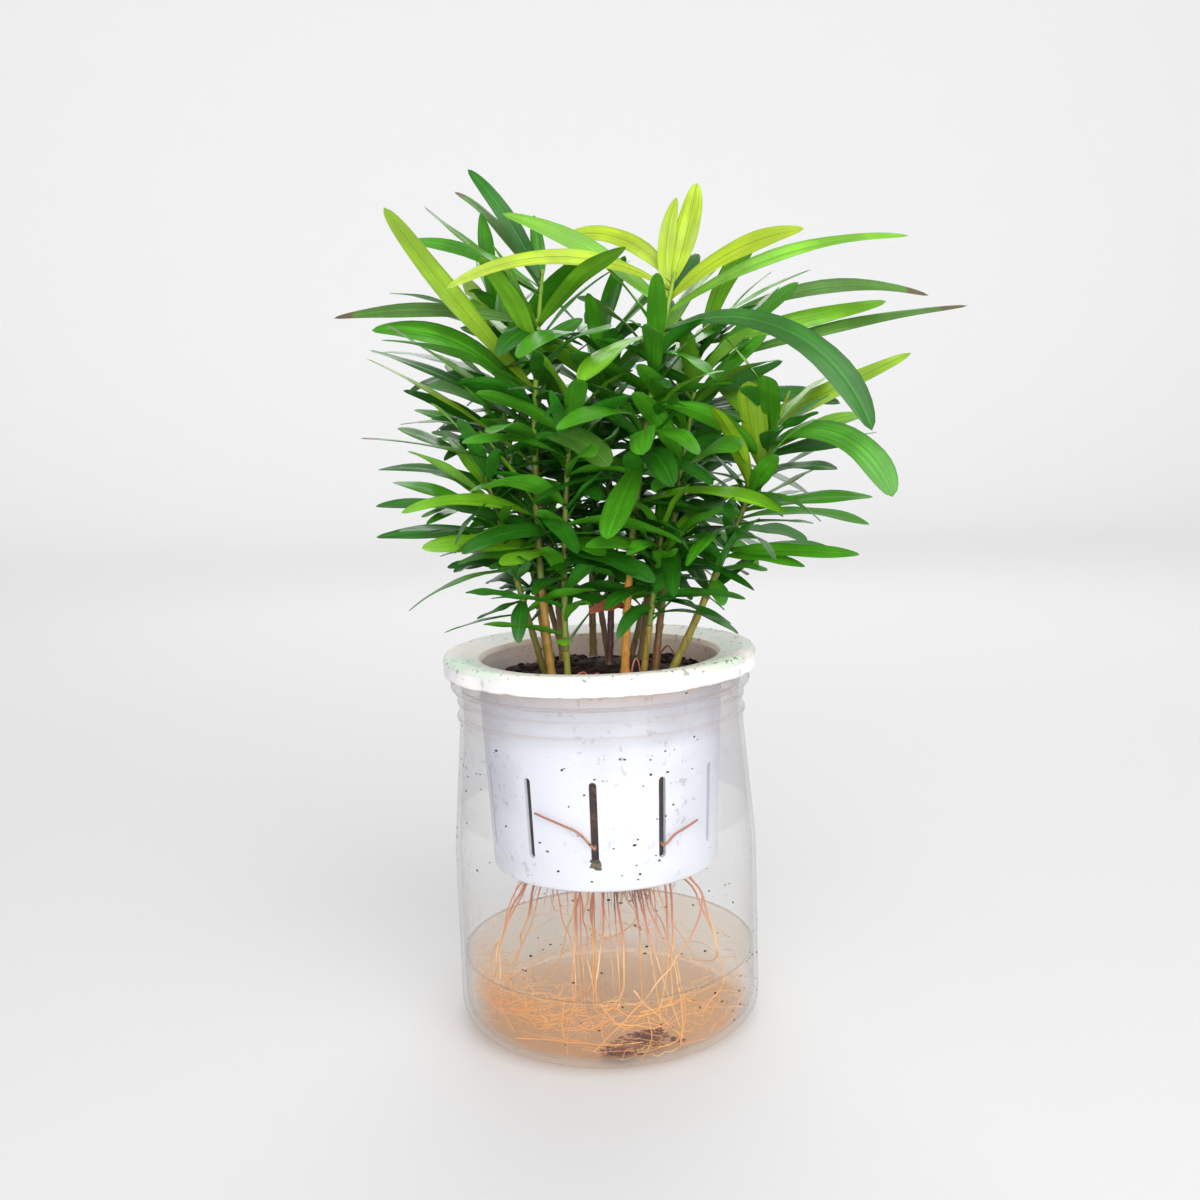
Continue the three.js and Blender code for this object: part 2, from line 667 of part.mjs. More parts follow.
function grownSeedlings() {
  const placed = [];
  const keep = (owner, solid, blade) => placed.push({ owner, solid, blade, box: solid.boundingBox() });
  const limbs = SEEDLINGS.map((seedling) => {
    const pair = { stem: stemSolid(seedling), shoot: shootSolid(seedling) };
    keep(seedling.name, pair.stem, pair.stem);
    keep(seedling.name, pair.shoot, pair.shoot);
    return pair;
  });
  const grow = (owner, leaf) => {
    const solid = leafSolid(leaf, 0);
    const blade = leafSolid(leaf, LEAF.blade);
    const clear = isClear({ owner, solid, blade, box: solid.boundingBox() }, placed);
    if (clear) keep(owner, solid, blade);
    return clear;
  };
  for (const seedling of SEEDLINGS) {
    for (const leaf of leadingLeaves(seedling)) grow(seedling.name, leaf);
  }
  const spirals = SEEDLINGS.map((seedling, i) => spiralLeaves(seedling, i + 1));
  const most = Math.max(...spirals.map((spiral) => spiral.length));
  for (let i = 0; i < most; i += 1) {
    SEEDLINGS.forEach(({ name }, s) => {
      const leaf = spirals[s][spirals[s].length - 1 - i];
      for (let t = 0; leaf && t < TRIES; t += 1) {
        const sidestep = SIDESTEP * Math.ceil(t / 2) * (t % 2 ? 1 : -1);
        const length = leaf.length * (1 - SHORTENING * t);
        const tried = { ...leaf, heading: leaf.heading + sidestep, length };
        if (staysInSpace(tried) && grow(name, tried)) break;
      }
    });
  }
  return SEEDLINGS.map(({ name }, i) => ({
    name,
    stem: limbs[i].stem,
    foliage: wholeBody(placed.filter(({ owner, solid }) => owner === name && solid !== limbs[i].stem)
      .map(({ solid }) => solid)),
  }));
}

// ---- Materials and assembly ----

const finishes = {
  jar: { color: 0xdfe8ea, roughness: 0.08, metalness: 0, transparent: true, opacity: 0.3 },
  pot: { color: 0xf3f0ee, roughness: 0.45, metalness: 0 },
  soil: { color: 0x2a1a12, roughness: 1, metalness: 0 },
  water: { color: 0xc9bfa6, roughness: 0.05, metalness: 0, transparent: true, opacity: 0.4 },
  root: { color: 0xc77a45, roughness: 0.8, metalness: 0 },
  stem: { color: 0x8a7a2c, roughness: 0.7, metalness: 0 },
  foliage: { color: 0x2f8a24, roughness: 0.45, metalness: 0 },
};

const podocarpus = new THREE.Group();

function addPiece(name, solid, finish) {
  const mesh = new THREE.Mesh(geometryOf(solid), new THREE.MeshStandardMaterial(finishes[finish]));
  mesh.name = name;
  podocarpus.add(mesh);
}

addPiece('jar', jarSolid(), 'jar');
addPiece('net_pot', potBody().subtract(fused(potSlots())), 'pot');
addPiece('soil', soilSolid(), 'soil');

const sleeves = [];
for (const [name, bunch] of Object.entries(ROOT_BUNCHES)) {
  const curves = bunch.roots.map(hangingRoot);
  const ropes = curves.map((curve) => ropeSolid(curve, ROOT.radius));
  addPiece(name, fused([rootPad(bunch.pad), ...ropes]), 'root');
  sleeves.push(...curves.map((curve) => ropeSolid(curve, ROOT.radius + ROOT.sleeve)));
}
for (const [name, root] of Object.entries(SLOT_ROOTS)) {
  addPiece(name, ropeSolid(slotRoot(root), ROOT.slotRadius), 'root');
}
addPiece('water', waterSolid(sleeves), 'water');

for (const { name, stem, foliage } of grownSeedlings()) {
  addPiece(`stem_${name}`, stem, 'stem');
  addPiece(`foliage_${name}`, foliage, 'foliage');
}

export default podocarpus;
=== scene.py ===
"""A clump of podocarpus seedlings in a slotted pot, which hangs in the mouth of a clear jar of water.

Metres, +Z up. The origin is the centre of the jar's flat underside, and the front is towards -Y.
"""

import math
from collections import namedtuple
from contextlib import contextmanager

import bmesh
import bpy
from bpy.props import FloatProperty, FloatVectorProperty, IntProperty, PointerProperty
from mathutils import Matrix, Vector, kdtree, noise


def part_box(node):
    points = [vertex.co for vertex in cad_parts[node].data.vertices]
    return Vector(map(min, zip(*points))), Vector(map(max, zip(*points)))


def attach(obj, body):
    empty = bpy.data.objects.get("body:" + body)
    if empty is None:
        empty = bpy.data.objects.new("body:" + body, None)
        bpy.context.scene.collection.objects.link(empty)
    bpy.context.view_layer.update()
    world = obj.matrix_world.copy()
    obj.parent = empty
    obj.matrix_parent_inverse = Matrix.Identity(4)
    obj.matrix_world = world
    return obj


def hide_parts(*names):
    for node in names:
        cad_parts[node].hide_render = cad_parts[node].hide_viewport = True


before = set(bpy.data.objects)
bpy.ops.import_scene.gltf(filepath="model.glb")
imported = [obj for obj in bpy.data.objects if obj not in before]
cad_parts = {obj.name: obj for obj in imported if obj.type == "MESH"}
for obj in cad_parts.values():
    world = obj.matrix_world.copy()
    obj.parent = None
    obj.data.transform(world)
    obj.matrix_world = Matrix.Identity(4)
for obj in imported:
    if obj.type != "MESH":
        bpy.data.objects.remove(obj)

bl_info = {
    "name": "Podocarpus seedlings in a water jar",
    "version": (1, 0, 0),
    "blender": (4, 5, 0),
    "location": "3D View > Sidebar > Podocarpus",
    "description": "Makes the jar, pot, soil, water, roots, stems and leaves of a seedling clump",
    "category": "Object",
}

MM = 0.001
BODY = "root"

JAR_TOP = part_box("jar")[1]
POT_LOW, POT_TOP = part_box("net_pot")
WATER_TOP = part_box("water")[1]


def tint(red, green, blue):
    """A screen colour of 0 to 255 as the linear colour that a shader takes."""
    shares = (value / 255 for value in (red, green, blue))
    return tuple(s / 12.92 if s <= 0.04045 else ((s + 0.055) / 1.055) ** 2.4 for s in shares)


# ---- Sizes and colours that can be changed ----


def a_length(name, description, default):
    return FloatProperty(name=name, description=description, default=default, unit="LENGTH")


def an_angle(name, description, degrees):
    return FloatProperty(name=name, description=description, default=math.radians(degrees), subtype="ANGLE")


def a_number(name, description, default, **limits):
    """A whole number where its default is whole, otherwise a decimal one."""
    kind = IntProperty if isinstance(default, int) else FloatProperty
    return kind(name=name, description=description, default=default, **limits)


def a_colour(name, description, red, green, blue):
    return FloatVectorProperty(
        name=name, description=description, default=tint(red, green, blue), subtype="COLOR")


class JarSettings(bpy.types.PropertyGroup):
    radius: a_length("Radius", "Outer radius of the jar", JAR_TOP.x)
    height: a_length("Height", "Height of the lip", JAR_TOP.z)
    wall: a_length("Wall", "Thickness of the wall", 1.3 * MM)
    floor: a_length("Floor", "Thickness of the floor", 2 * MM)
    corner: a_length("Foot", "Radius of the rounded foot", 9 * MM)
    neck: a_length("Neck", "Outer radius of the neck", 46.4 * MM)
    haze: a_number("Haze", "How cloudy the plastic is", 0.02, min=0, max=1)
    specks: a_number("Specks", "Dirt specks for each square centimetre", 4, min=0)
    colour: a_colour("Tint", "Colour that the wall lends to what is behind it", 255, 255, 255)


class PotSettings(bpy.types.PropertyGroup):
    slots: a_number("Slots", "Slots round the wall", 11, min=3, max=24)
    slot_width: a_length("Slot width", "Width of a slot", 2.4 * MM)
    slot_turn: an_angle("Slot turn", "Where the front slot stands round the pot", -95)
    plastic: a_colour("Flange", "Colour of the flange", 251, 248, 245)
    wall: a_colour("Wall", "Colour of the wall below it", 219, 222, 231)
    algae: a_colour("Algae", "Green film on the flange", 206, 228, 208)
    grime: a_colour("Grime", "Brown film inside the mouth", 248, 222, 206)


class SoilSettings(bpy.types.PropertyGroup):
    crumb: a_length("Crumb", "Radius of the largest crumb", 1.9 * MM)
    crumbs: a_number("Crumbs", "Crumbs for each square centimetre", 34, min=0)
    dark: a_colour("Moist", "Colour of the moist soil", 40, 22, 21)
    light: a_colour("Dry", "Colour of drier crumbs", 98, 62, 48)


class WaterSettings(bpy.types.PropertyGroup):
    level: a_length("Level", "Height of the water", WATER_TOP.z)
    colour: a_colour("Tint", "Colour of the water", 253, 247, 240)
    film: a_colour("Surface", "Colour of the film on it", 247, 238, 229)
    silt: a_colour("Silt", "Colour of the lowest water", 252, 233, 212)


class RootSettings(bpy.types.PropertyGroup):
    girth: a_length("Girth", "Radius of a main root", 0.42 * MM)
    fine: a_length("Fine girth", "Radius of a fine root", 0.15 * MM)
    share: a_number("Fine roots", "Share of the fine roots that are grown", 1.0, min=0)
    seed: a_number("Seed", "Seed of the fine roots", 5)
    dry: a_colour("Above water", "Colour above the water", 198, 122, 92)
    wet: a_colour("Under water", "Colour under water", 242, 194, 138)


class StemSettings(bpy.types.PropertyGroup):
    flare: a_number("Flare", "Girth at the soil, in girths", 1.35, min=1)
    relief: a_length("Relief", "Depth of the bark", 0.07 * MM)
    node: a_number("Node", "Swelling at a node, in girths", 0.16, min=0)
    sides: a_number("Sides", "Faces round a stem", 14, min=6)


class LeafSettings(bpy.types.PropertyGroup):
    stations: a_number("Stations", "Rows of faces along a leaf", 16, min=4)
    petiole: a_length("Petiole", "Width at the root", 0.9 * MM)
    widest: a_number("Widest", "Where along a slim leaf it is widest", 0.46, min=0.1)
    blunt: a_number("Blunt", "How fast it widens from the root", 0.7)
    thick: a_length("Thickness", "Thickness at the midrib", 0.55 * MM)
    fold: a_number("Fold", "How far the halves rise, in half widths", 0.34)
    gutter: a_number("Curl", "How far the edges curl down, in half widths", 0.3)
    wave: a_length("Wave", "Height of the waves along an edge", 0.35 * MM)
    lime: a_colour("Lime", "Newest leaves", 181, 212, 36)
    bright: a_colour("Bright", "Young leaves", 128, 198, 38)
    mid: a_colour("Mid", "Grown leaves", 80, 164, 28)
    # The dark tone also serves as painted shade for the leaves inside and at the back of the crown.
    dark: a_colour("Dark", "Old leaves", 44, 116, 22)
    olive: a_colour("Olive", "Leaves of the leaning seedling", 146, 190, 34)
    dull: a_colour("Dull", "Slim greyish leaves", 88, 140, 48)
    dead: a_colour("Dead", "A withered leaf", 172, 96, 70)


class StageSettings(bpy.types.PropertyGroup):
    floor: a_colour("Floor", "Colour of the floor", 210, 210, 210)
    # Painted lighter than the floor, to make up for the weaker light where the floor turns up.
    wall: a_colour("Wall", "Colour of the floor's far rim", 242, 242, 242)
    key: a_number("Key light", "Power of the main light in watts", 11.0, min=0)
    fill: a_number("Fill light", "Power of the side light in watts", 4.0, min=0)
    backdrop: a_number("Wall light", "Power of the light on the wall", 15.0, min=0)
    sky: a_number("Sky", "Strength of the light from all round", 0.62, min=0)
    lens: a_number("Lens", "Focal length in millimetres", 39.0, min=1)
    pitch: an_angle("Pitch", "How far the camera looks down", 7.75)
    roll: an_angle("Roll", "How far the camera leans to its right", 1.95)
    eye: FloatVectorProperty(
        name="Eye", description="Where the camera stands", subtype="TRANSLATION",
        default=(0.85 * MM, -421.1 * MM, 197.3 * MM))


SETTINGS = {
    "jar": JarSettings,
    "pot": PotSettings,
    "soil": SoilSettings,
    "water": WaterSettings,
    "roots": RootSettings,
    "stems": StemSettings,
    "leaves": LeafSettings,
    "stage": StageSettings,
}


def settings(name):
    return getattr(bpy.context.scene, "podocarpus_" + name)


# ---- The seedlings, in millimetres and degrees ----

# Foot, knee and tip of the stem's curve, the height up to which it is bare, its girth, and the
# lowest, the highest, the count and the longest of the leaves that stand by rule.
Seedling = namedtuple("Seedling", "foot knee tip bare girth lowest highest count longest")
SEEDLINGS = {
    "center": Seedling((7.9, -20), (10, -20, 175), (26.5, -25, 241), 160, 1.35, 176, 222, 20, 58),
    "left": Seedling((-15, -18), (-21.5, -18, 185), (-13, -17, 244), 148, 1.3, 152, 228, 20, 60),
    "right": Seedling((22.3, -15), (39, -16, 150), (60, -25, 205), 142, 1.25, 148, 198, 20, 46),
    "back_right": Seedling((14, 6), (20, 10, 170), (42, 14, 236), 150, 1.25, 160, 224, 21, 60),
    "back_left": Seedling((-12, 8), (-14, 10, 180), (-32, 12, 240), 150, 1.25, 158, 237, 26, 64),
    "left_front": Seedling((-10, -20), (-11.5, -20, 160), (-5, -30, 205), 127, 1.05, 145, 203, 20, 46),
    "left_low": Seedling((-17.5, -12), (-24, -15, 145), (-34, -18, 186), 134, 1.0, 140, 184, 20, 42),
    "left_inner": Seedling((-16.4, -5), (-20, -6, 150), (-30, 2, 216), 138, 1.0, 144, 214, 21, 50),
    "right_front": Seedling((13.7, -18), (17, -18, 140), (21, -27, 167), 134, 1.05, 138, 165, 16, 40),
    "right_inner": Seedling((17.6, -14), (21, -14, 150), (34, -8, 212), 138, 1.2, 144, 210, 24, 50),
    "middle": Seedling((3.2, -4), (6.5, -4, 160), (4, 2, 224), 146, 1.1, 150, 221, 24, 52),
    "middle_low": Seedling((3, 5), (0.5, 4, 145), (-10, 14, 198), 136, 1.0, 142, 196, 20, 48),
    "back": Seedling((-2, 16), (-2, 20, 170), (4, 34, 230), 140, 1.2, 146, 228, 26, 62),
    "back_right_low": Seedling((11, 17), (20, 22, 150), (38, 38, 196), 136, 1.05, 142, 194, 22, 46),
    "back_left_low": Seedling((-12, 18), (-20, 22, 150), (-34, 34, 194), 136, 1.05, 142, 192, 22, 48),
}

# The leaves that lead the crown's outline and its front: height, heading, rise, droop, length,
# width, turn, tone.
LEADING = {
    "center": (
        (233, 165, 80, -32, 30, 5.6, 60, "lime"),
        (238, 15, 70, -8, 30, 7, 60, "lime"),
        (234, 60, 40, 10, 25, 6, 30, "dark"),
        (233, 345, 44, 40, 45, 7, 60, "lime"),
        (229, 15, 34, 36, 85, 5, 50, "bright"),
        (236, 200, 30, 60, 72, 5.4, 60, "lime"),
        (230, 175, 48, 32, 58, 6.5, 60, "bright"),
        (238, 150, 58, 72, 46, 6.6, 50, "lime"),
        (224, 330, 20, 92, 80, 9.6, 40, "dark"),
        (222, 225, 5, 52, 38, 12, 0, "bright"),
        (186, 250, -25, 15, 40, 9, 0, "mid"),
        (172, 340, 24, 56, 49, 8, 20, "bright"),
        (218, 340, 0, 55, 20, 8, 10, "mid"),
        (196, 320, 54, 54, 34, 6, 10, "bright"),
        (192, 225, 60, 54, 33, 8, 10, "mid"),
    ),
    "left": (
        (240, 140, 63, 22, 48, 5.4, 50, "dark"),
        (208, 185, 48, -8, 70, 8.6, 50, "olive"),
        (236, 160, 44, 42, 52, 5.4, 50, "mid"),
        (228, 170, 15, 22, 66, 6, 50, "dull"),
        (227, 310, 38, 26, 45, 9.5, 0, "bright"),
        (200, 170, 64, 70, 62, 8, 50, "mid"),
        (198, 190, 38, 6, 53, 4.4, 20, "dull"),
        (196, 172, 38, 22, 58, 6, 20, "dark"),
        (185, 175, 42, 16, 62, 4.8, 10, "olive"),
        (182, 195, 24, 20, 55, 4, 10, "dull"),
        (193, 155, 20, 26, 50, 4, 10, "dull"),
        (170, 150, 33, 40, 65, 5.4, 30, "dark"),
        (169, 205, 30, 50, 45, 5.6, 40, "bright"),
        (160, 205, 12, 18, 38, 7, 50, "bright"),
        (152, 180, 10, 50, 45, 4.6, 10, "mid"),
        (194, 305, 10, 46, 41, 9, 30, "dull"),
        (173, 230, 48, 6, 33, 8.4, 30, "olive"),
        (238, 130, 54, 30, 57, 4, 20, "dull"),
        (237, 170, 34, -8, 45, 3.8, 20, "dull"),
        (240, 100, 66, 10, 25, 4.6, 20, "mid"),
    ),
    "right": (
        (182, 250, 72, 16, 29, 8.6, 0, "olive"),
        (175, 235, 70, 40, 34, 7.4, 10, "olive"),
        (189, 320, 32, 105, 51, 9.4, 40, "mid"),
        (185, 5, 20, 30, 35, 6, 40, "dark"),
        (169, 345, 15, 20, 40, 6.6, 30, "mid"),
        (157, 330, 2, 6, 43, 5.8, 40, "mid"),
        (151, 300, 14, 22, 25, 6, 10, "mid"),
        (179, 330, 26, 42, 27, 7, 20, "dark"),
        (170, 350, 30, 6, 27, 5, 10, "olive"),
        (148, 290, -40, 30, 10, 6, 0, "mid"),
    ),
    "back_right": (
        (226, 0, 32, 50, 76, 6, 50, "dull"),
        (222, 5, 12, 2, 63, 6.6, 60, "bright"),
        (214, 5, 18, 14, 94, 5, 45, "dull"),
        (221, 335, 28, -10, 32, 7, 20, "dark"),
    ),
    "back_left": (
        (214, 150, 68, 14, 38, 7, 40, "olive"),
    ),
    "left_inner": (
        (209, 330, 56, -50, 39, 8.6, 0, "mid"),
        (192, 180, 40, 24, 38, 6, 40, "dark"),
    ),
    "middle": (
        (219, 240, 30, 66, 52, 8.4, 10, "mid"),
    ),
    "right_inner": (
        (183, 5, 26, 4, 81, 7, 50, "olive"),
        (205, 5, 14, -10, 30, 6, 40, "dark"),
    ),
    "left_front": (
        (158, 225, 12, 30, 26, 9, 10, "bright"),
        (131, 268, 6, 20, 10, 5, 0, "bright"),
        (159, 320, 26, 60, 17, 7, 20, "mid"),
    ),
    "left_low": (
        (163, 170, 11, 20, 42, 5.4, 50, "dark"),
        (143, 262, -30, 45, 16, 5.5, 0, "dark"),
        (143, 200, -16, 4, 16, 3.4, 10, "dark"),
    ),
    "right_front": (
        (143, 345, -5, 27, 26, 4.6, 10, "dark"),
    ),
}

# Leaves that stand low on a bare stem, told in the same way.
STRAY = {
    "center": ((141, 196, 14, 44, 13, 4.6, 40, "dead"),),
}

# Short leaves fill each shoot between the long ones: how many, and how they stand.
FILLERS = {"count": 26, "length": (14, 32), "width": (3.6, 6.6), "rise": (-4, 66), "droop": (10, 60)}

# Bark colours at the soil and in the crown, and the height at which one turns into the other.
BARKS = {
    "center": (tint(204, 140, 52), tint(158, 176, 52), 158),
    "left": (tint(166, 126, 50), tint(112, 150, 46), 168),
    "right": (tint(156, 142, 56), tint(148, 158, 52), 170),
    "left_front": (tint(140, 142, 52), tint(120, 156, 48), 150),
    "left_low": (tint(112, 108, 42), tint(88, 120, 40), 150),
    "left_inner": (tint(146, 112, 50), tint(110, 130, 48), 150),
    "right_front": (tint(152, 130, 48), tint(130, 140, 48), 150),
    "right_inner": (tint(124, 88, 44), tint(120, 120, 44), 160),
    "middle": (tint(84, 46, 46), tint(96, 96, 44), 175),
    "middle_low": (tint(122, 92, 58), tint(92, 110, 44), 160),
}
PLAIN_BARK = (tint(128, 104, 52), tint(98, 124, 44), 160)

GAP = 0.3  # in millimetres, between pieces that would touch
STEM_FOOT = 0.5  # a stem's foot above the soil
STEM_TIP, SHOOT_TAPER = 0.9, 0.95  # a stem's girth at its tip, and the shoot's share of the stem's girth

# How often a leaf is tried, and by how many degrees and what share it is turned aside and shortened.
TRIES, SIDESTEP, SHORTENING = 6, 22, 0.06
TIP_FOUND = 0.02  # a leaf of the CAD model has its tip this near a corner of its mass

# How the leaves of a shoot change from its lowest to its highest, and how far each may stray.
SPIRAL = {
    "step": 137.5,
    "step_spread": 30,
    "least_length": 0.3,
    "phase": (0.1, 0.78),
    "length_spread": 12,
    "rise": (10, 52),
    "rise_curve": 1.5,
    "rise_spread": 26,
    "droop": (54, -30),
    "droop_spread": 30,
    "least_width": 3.9,
    "width_by_length": 0.068,
    "width_spread": 1.6,
    "turn_spread": 80,
}


def seeded(seed):
    """The same run of numbers from 0 to 1 for the same seed."""
    state = seed
    while True:
        state = (state * 1664525 + 1013904223) % 4294967296
        yield state / 4294967296


# ---- Heights in the jar and pot, in millimetres ----

JAR_SHOULDER, JAR_NECK, JAR_LIP = 60, 100, 114
JAR_RINGS = ((104.2, 1.6, 1.1, 0.8), (109.2, 1.2, 0.8, 0.6))  # height, half breadth, depth, fillet
NECK_LINES = ((113.0, 0.5), (109.0, 0.2), (104.0, 0.24))  # that light catches, and how much it does
POT_BOTTOM, FLANGE_LOW, FLANGE_TOP = POT_LOW.z / MM, JAR_TOP.z / MM + GAP, POT_TOP.z / MM
POT_RADII, POT_WALL, POT_FLOOR = (37.2, 40), 1.4, 1.6  # outside, at the bottom and under the flange
SOIL_DOME, SOIL_RIM, SOIL_DROP = 119, 115.2, 36  # in the middle, at the wall, and how far out it falls


# ---- Node trees that are wired by formulas ----


class Field:
    """A number or vector that flows through a node tree."""

    def __init__(self, net, socket):
        self.net = net
        self.socket = socket

    def maths(self, operation, *values):
        return self.net.field("ShaderNodeMath", dict(enumerate(values)), operation=operation)

    def vectors(self, operation, *values, **named):
        inputs = {**dict(enumerate(values)), **named}
        output = 1 if operation == "LENGTH" else 0
        return self.net.field("ShaderNodeVectorMath", inputs, output, operation=operation)

    def __add__(self, other):
        return self.maths("ADD", self, other)

    def __sub__(self, other):
        return self.maths("SUBTRACT", self, other)

    def __rsub__(self, other):
        return self.maths("SUBTRACT", other, self)

    def __mul__(self, other):
        return self.maths("MULTIPLY", self, other)

    def __truediv__(self, other):
        return self.maths("DIVIDE", self, other)

    def __pow__(self, other):
        return self.maths("POWER", self, other)

    __radd__ = __add__
    __rmul__ = __mul__

    def sin(self):
        return self.maths("SINE", self)

    def cos(self):
        return self.maths("COSINE", self)

    def absolute(self):
        return self.maths("ABSOLUTE", self)

    def length(self):
        return self.vectors("LENGTH", self)

    def larger(self, other):
        return self.maths("MAXIMUM", self, other)

    def smaller(self, other):
        return self.maths("MINIMUM", self, other)

    def over(self, other):
        """1 where this is above the other, else 0."""
        return self.maths("GREATER_THAN", self, other)

    def equals(self, other):
        return self.maths("COMPARE", self, other, 0.5)

    def ramp(self, low, high):
        """0 at low, 1 at high, smooth between."""
        inputs = {0: self, 1: low, 2: high}
        return self.net.field("ShaderNodeMapRange", inputs, interpolation_type="SMOOTHSTEP")

    def climb(self, low, high):
        """The same for a length, with low and high in millimetres."""
        return self.ramp(low * MM, high * MM)

    def scaled(self, number):
        return self.vectors("SCALE", self, Scale=number)

    def minus(self, vector):
        """This less a fixed vector."""
        return self.vectors("SUBTRACT", self, tuple(vector))

    def plus(self, *others):
        total = self
        for other in others:
            total = total.vectors("ADD", total, other)
        return total

    def parts(self):
        node = self.net.node("ShaderNodeSeparateXYZ", {0: self})
        return [Field(self.net, output) for output in node.outputs]


class Net:
    """A node tree with short ways to add and wire its nodes."""

    def __init__(self, tree):
        self.tree = tree

    def wire(self, socket, value):
        if isinstance(value, Field):
            value = value.socket
        if isinstance(value, bpy.types.NodeSocket):
            self.tree.links.new(value, socket)
        else:
            socket.default_value = value

    def node(self, kind, inputs=None, **choices):
        made = self.tree.nodes.new(kind)
        for name, choice in choices.items():
            setattr(made, name, choice)
        for key, value in (inputs or {}).items():
            self.wire(made.inputs[key], value)
        return made

    def field(self, kind, inputs=None, output=0, **choices):
        return Field(self, self.node(kind, inputs, **choices).outputs[output])

    def vector(self, x, y, z):
        return self.field("ShaderNodeCombineXYZ", {0: x, 1: y, 2: z})

    def noise(self, scale, at, detail=2.0, output="Fac"):
        return self.field("ShaderNodeTexNoise", {"Scale": scale, "Detail": detail, "Vector": at}, output)


class ShapeNet(Net):
    """A geometry tree. Its inputs are named, and it ends in Realize Instances and Set Material."""

    KINDS = {
        "number": "NodeSocketFloat", "count": "NodeSocketInt", "material": "NodeSocketMaterial",
        "object": "NodeSocketObject",
    }

    def __init__(self, name, **inputs):
        super().__init__(bpy.data.node_groups.new(name, "GeometryNodeTree"))
        sides = self.tree.interface
        sides.new_socket("Geometry", in_out="INPUT", socket_type="NodeSocketGeometry")
        sides.new_socket("Geometry", in_out="OUTPUT", socket_type="NodeSocketGeometry")
        for label, kind in inputs.items():
            sides.new_socket(label.replace("_", " "), in_out="INPUT", socket_type=self.KINDS[kind])
        self.entry = self.tree.nodes.new("NodeGroupInput")

    def given(self, label):
        return Field(self, self.entry.outputs[label])

    def attribute(self, name, kind="FLOAT"):
        return self.field("GeometryNodeInputNamedAttribute", {"Name": name}, data_type=kind)

    def finish(self, shape, paints):
        """Paints are pairs of a material and a selection, where None selects every face."""
        shape = self.field("GeometryNodeRealizeInstances", {"Geometry": shape})
        shape = self.field("GeometryNodeSetShadeSmooth", {"Geometry": shape})
        for material, selection in paints:
            inputs = {"Geometry": shape, "Material": material}
            if selection is not None:
                inputs["Selection"] = selection
            shape = self.field("GeometryNodeSetMaterial", inputs)
        exit_node = self.tree.nodes.new("NodeGroupOutput")
        self.wire(exit_node.inputs[0], shape)
        return self.tree


def run_through(obj, tree, **values):
    """Puts obj through a geometry tree and keeps the result as its plain mesh."""
    modifier = obj.modifiers.new(tree.name, "NODES")
    modifier.node_group = tree
    for item in tree.interface.items_tree:
        key = item.name.replace(" ", "_")
        if item.in_out == "INPUT" and key in values:
            modifier[item.identifier] = values[key]
    graph = bpy.context.evaluated_depsgraph_get()
    mesh = bpy.data.meshes.new_from_object(obj.evaluated_get(graph), depsgraph=graph)
    obj.modifiers.remove(modifier)
    obj.data = mesh
    return obj


# ---- Meshes ----


def new_object(name, points, edges=(), faces=()):
    mesh = bpy.data.meshes.new(name)
    mesh.from_pydata([tuple(p) for p in points], edges, faces)
    obj = bpy.data.objects.new(name, mesh)
    bpy.context.scene.collection.objects.link(obj)
    return obj


def finished(obj, slot, *nodes):
    """A finished piece rides on the part's one body and stands for its CAD nodes."""
    obj.data.name = obj.name
    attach(obj, BODY)
    if nodes:
        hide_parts(*nodes)


@contextmanager
def edited(mesh):
    """Opens a mesh for a change and writes the change back."""
    shape = bmesh.new()
    shape.from_mesh(mesh)
    yield shape
    shape.to_mesh(mesh)
    shape.free()


def outward(obj):
    """Turns the faces of a closed shape outwards."""
    with edited(obj.data) as shape:
        bmesh.ops.recalc_face_normals(shape, faces=shape.faces)
    return obj


def shade(obj, crease=math.radians(35)):
    """Smooth faces, with sharp edges where the surface turns by more than the crease."""
    with edited(obj.data) as shape:
        for face in shape.faces:
            face.smooth = True
        for edge in shape.edges:
            edge.smooth = len(edge.link_faces) == 2 and edge.calc_face_angle() < crease
    return obj


def rounded(corners, steps=5):
    """An outline of (radius, height, fillet), with an arc of the fillet's radius at each corner."""
    points = []
    for i, (r, z, fillet) in enumerate(corners):
        corner = Vector((r, z))
        if not fillet or i in (0, len(corners) - 1):
            points.append(corner)
            continue
        before = (Vector(corners[i - 1][:2]) - corner).normalized()
        after = (Vector(corners[i + 1][:2]) - corner).normalized()
        half = before.angle(after) / 2
        reach = fillet / math.tan(half)
        centre = corner + (before + after).normalized() * (fillet / math.sin(half))
        start = corner + before * reach - centre
        end = corner + after * reach - centre
        for k in range(steps + 1):
            points.append(centre + start.slerp(end, k / steps).normalized() * fillet)
    return points


def face_of(*corners):
    """A face in which corners that coincide count once."""
    return tuple(dict.fromkeys(corners))


def turned(name, outline, sides=96):
    """A closed skin turned round the Z axis."""
    points, rings = [], []
    for r, z in outline:
        if abs(r) < 1e-7:
            rings.append([len(points)] * sides)
            points.append((0, 0, z))
            continue
        rings.append(list(range(len(points), len(points) + sides)))
        turns = (2 * math.pi * k / sides for k in range(sides))
        points += [(r * math.cos(a), r * math.sin(a), z) for a in turns]
    faces = []
    if rings[0][0] != rings[0][1] or rings[-1][0] != rings[-1][1]:
        rings.append(rings[0])
    for low, high in zip(rings, rings[1:]):
        for k in range(sides):
            j = (k + 1) % sides
            faces.append(face_of(low[k], low[j], high[j], high[k]))
    return outward(new_object(name, points, faces=[face for face in faces if len(face) > 2]))


